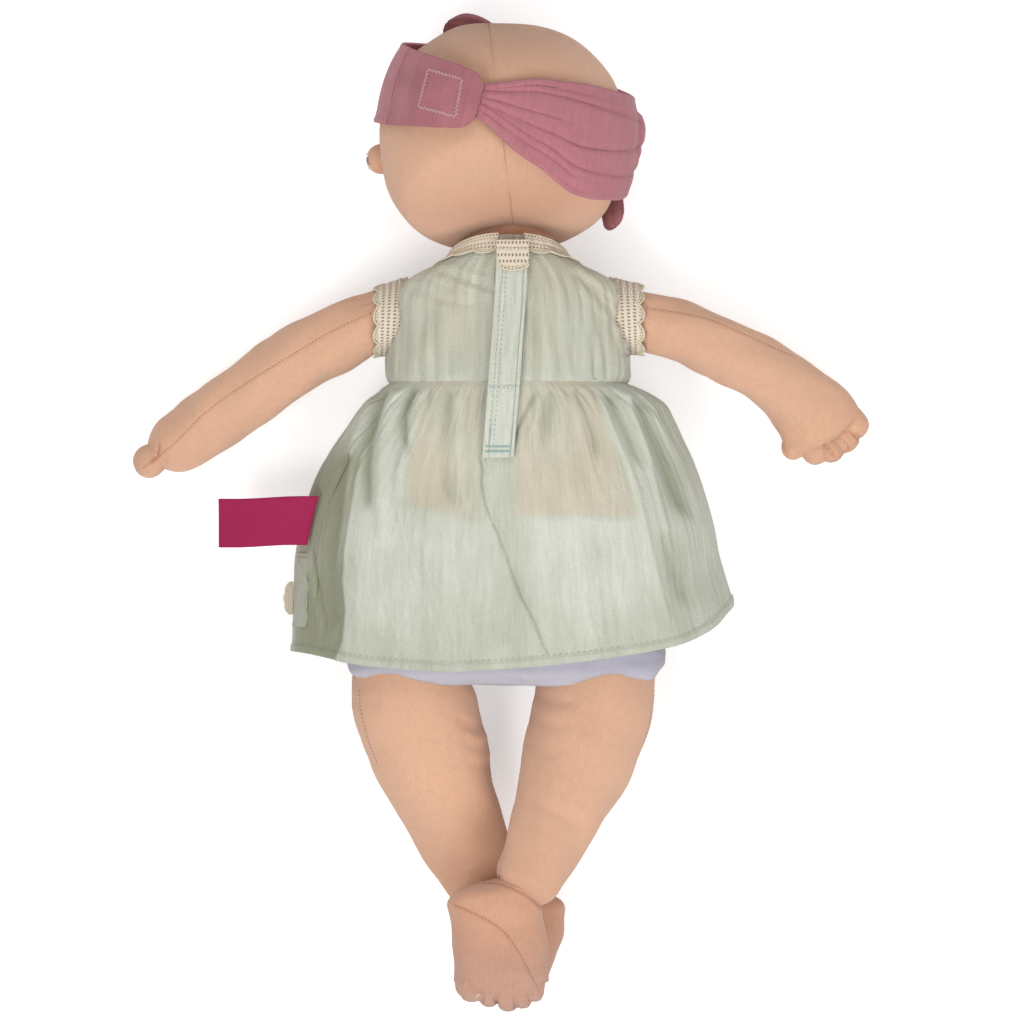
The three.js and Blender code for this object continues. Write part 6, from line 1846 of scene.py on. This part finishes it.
knot_folds = lambda x, y, z: 1 - 0.07 * (0.5 + 0.5 * np.sin(9 * x + 2.5 * y)) - 0.05 * bump(y, 0.1, 0.1)
grid = button_grid(knot_out, button_out, BAND_AXIS, 4, 8, 8, relief=knot_folds)
knot = grid_piece("bow_knot_gauze", grid, marks={"shade": np.full(grid.shape[:2], 0.2)})
dress_up(knot, mauve_gauze, "headband", "bow_knot", slot="headband_gauze")


def bow_piece(name, node, spine, up, width, depth, sizes):
    """One loop of the bow: a flat limb with folds along it, and a soft shade in the folds."""
    shape = {
        "spine": spine, "up": up, "sizes": sizes, "width": width, "depth": depth,
        "start_cap": depth, "end_cap": depth * 1.4,
    }
    grid, along, turn = limb_grid(shape, 120, 130)
    folds = np.sin(turn * 7 + 1.5 * along[:, None]) * (1 - 0.6 * along[:, None])
    grid = grid + outward(grid) * (0.35 * folds - 0.2)[..., None]
    piece = grid_piece(name, grid, marks={"shade": np.clip(-0.5 * folds, 0, 1)})
    dress_up(piece, mauve_gauze, "headband", node, slot="headband_gauze")


head_frame = np.array([BAND_RIGHT * HEAD_SIZE[0], BAND_AXIS * HEAD_SIZE[1], [0, 0, HEAD_SIZE[2]]])
ear_places = [(-0.04, 0.02, 0), (-0.16, 0.1, 0.075), (-0.26, 0.145, 0.18), (-0.335, 0.15, 0.3)]
ear_spine = knot_out + np.array(ear_places) @ head_frame
ear_sizes = [[0, 0.5, 0.9], [0.5, 1, 1], [1, 0.62, 0.8]]
bow_piece("bow_ear_gauze", "bow_ear", ear_spine, (0, 0.45, -0.9), 18, 5, ear_sizes)
tail_places = [(172, 0.24, 0.5), (155, 0.17, 0.5), (138, 0.03, 0.5), (122, -0.13, 0.4), (107, -0.25, 0)]
tail_spine = [
    on_band(math.radians(turn), height * HEAD_SIZE[1], BAND_LIFT + band_stand(turn, 0.4) + off * 4.4)
    for turn, height, off in tail_places
]
tail_sizes = [[0, 0.8, 0.9], [0.6, 1, 1], [1, 0.85, 0.9]]
bow_piece("bow_tail_gauze", "bow_tail", tail_spine, (0.5, 0, -0.87), 13, 4.4, tail_sizes)

# %% [markdown]
# The face isn't seen from behind, but it is there: two small ears, a button nose, closed eyes and
# a mouth in embroidery. It is a plain resting face of the maker's own, in simple curves of thread.

# %% Ears and face
EAR_SIZE = (6, 6.5)
for side, way in EARS.items():
    reach = EAR_REACH[side]
    spiral = lambda x, y, z: 1 - 0.16 * bump(np.hypot(x, y), 0.45, 0.13) * (z > 0)
    middle = HEAD_MIDDLE + way * head_reach(way)
    grid = button_grid(middle, way, UP, reach, *EAR_SIZE, relief=spiral)
    ear = grid_piece(f"ear_{side}_skin", grid, marks={"warm_tone_and_shade": np.full(grid.shape[:2], 0.05)})
    dress_up(ear, skin, "head", f"ear_{side}", slot="skin")
    a = np.linspace(0, 2.6 * math.pi, 60)
    size = 0.62 - 0.16 * a / a[-1]
    across = unit(np.cross(UP, way))
    rise = unit(np.cross(way, across))
    ring = middle + across * (EAR_SIZE[0] * size * np.cos(a))[:, None]
    ring = ring + rise * (EAR_SIZE[1] * size * np.sin(a))[:, None]
    ring = ring + way * (reach * np.sqrt(1 - size**2) + 0.1)[:, None]
    row = stitches(f"ear_{side}_stitches", ring, np.broadcast_to(way, ring.shape), 0.9, 0.5, 0.16)
    dress_up(row, seam_thread, "head")

nose_way = head_way(0, -0.2, -1)
grid = button_grid(HEAD_MIDDLE + nose_way * head_reach(nose_way), nose_way, head_way(0, 1, 0), 3.4, 5, 5)
nose = grid_piece("nose_skin", grid, marks={"warm_tone_and_shade": np.full(grid.shape[:2], 0.3)})
dress_up(nose, skin, "head", "nose", slot="skin_stitch")
face_rows = {"eye_left": (-0.36, 0.02, -1), "eye_right": (0.36, 0.02, -1), "mouth": (0, -0.48, -0.9)}
on_head = lambda way, lift: HEAD_MIDDLE + way * (head_reach(way) + lift)[:, None]
for name, (right, up, out) in face_rows.items():
    x = np.linspace(-1, 1, 70)
    half, bend, thread, slot = (0.095, -0.03, dark_thread, "lash")
    if name == "mouth":
        half, bend, thread, slot = (0.1, 0.035, lip_thread, "lip")
    rows = []
    for k in range(4):
        way = head_way(right + x * half, up + bend * (x**2 - 0.5) + 0.012 * (k - 1.5) * (1 - x**2), out)
        rows.append(stitches("row", on_head(way, 0.35 + 0.2 * (1 - x**2)), way, 1.4, 0.1, 0.3))
    if name != "mouth":
        lash = x[8::13]
        roots = head_way(right + lash * half, up + bend * (lash**2 - 0.5), out)
        tips = head_way(right + lash * half * 1.25, up + bend * (lash**2 - 0.5) - 0.05, out)
        rows.append(dashes("row", on_head(roots, 0.4), on_head(tips, 0.4), roots, 0.26, 0.3))
    dress_up(joined(f"{name}_embroidery", *rows), thread, "head", name, slot=slot)
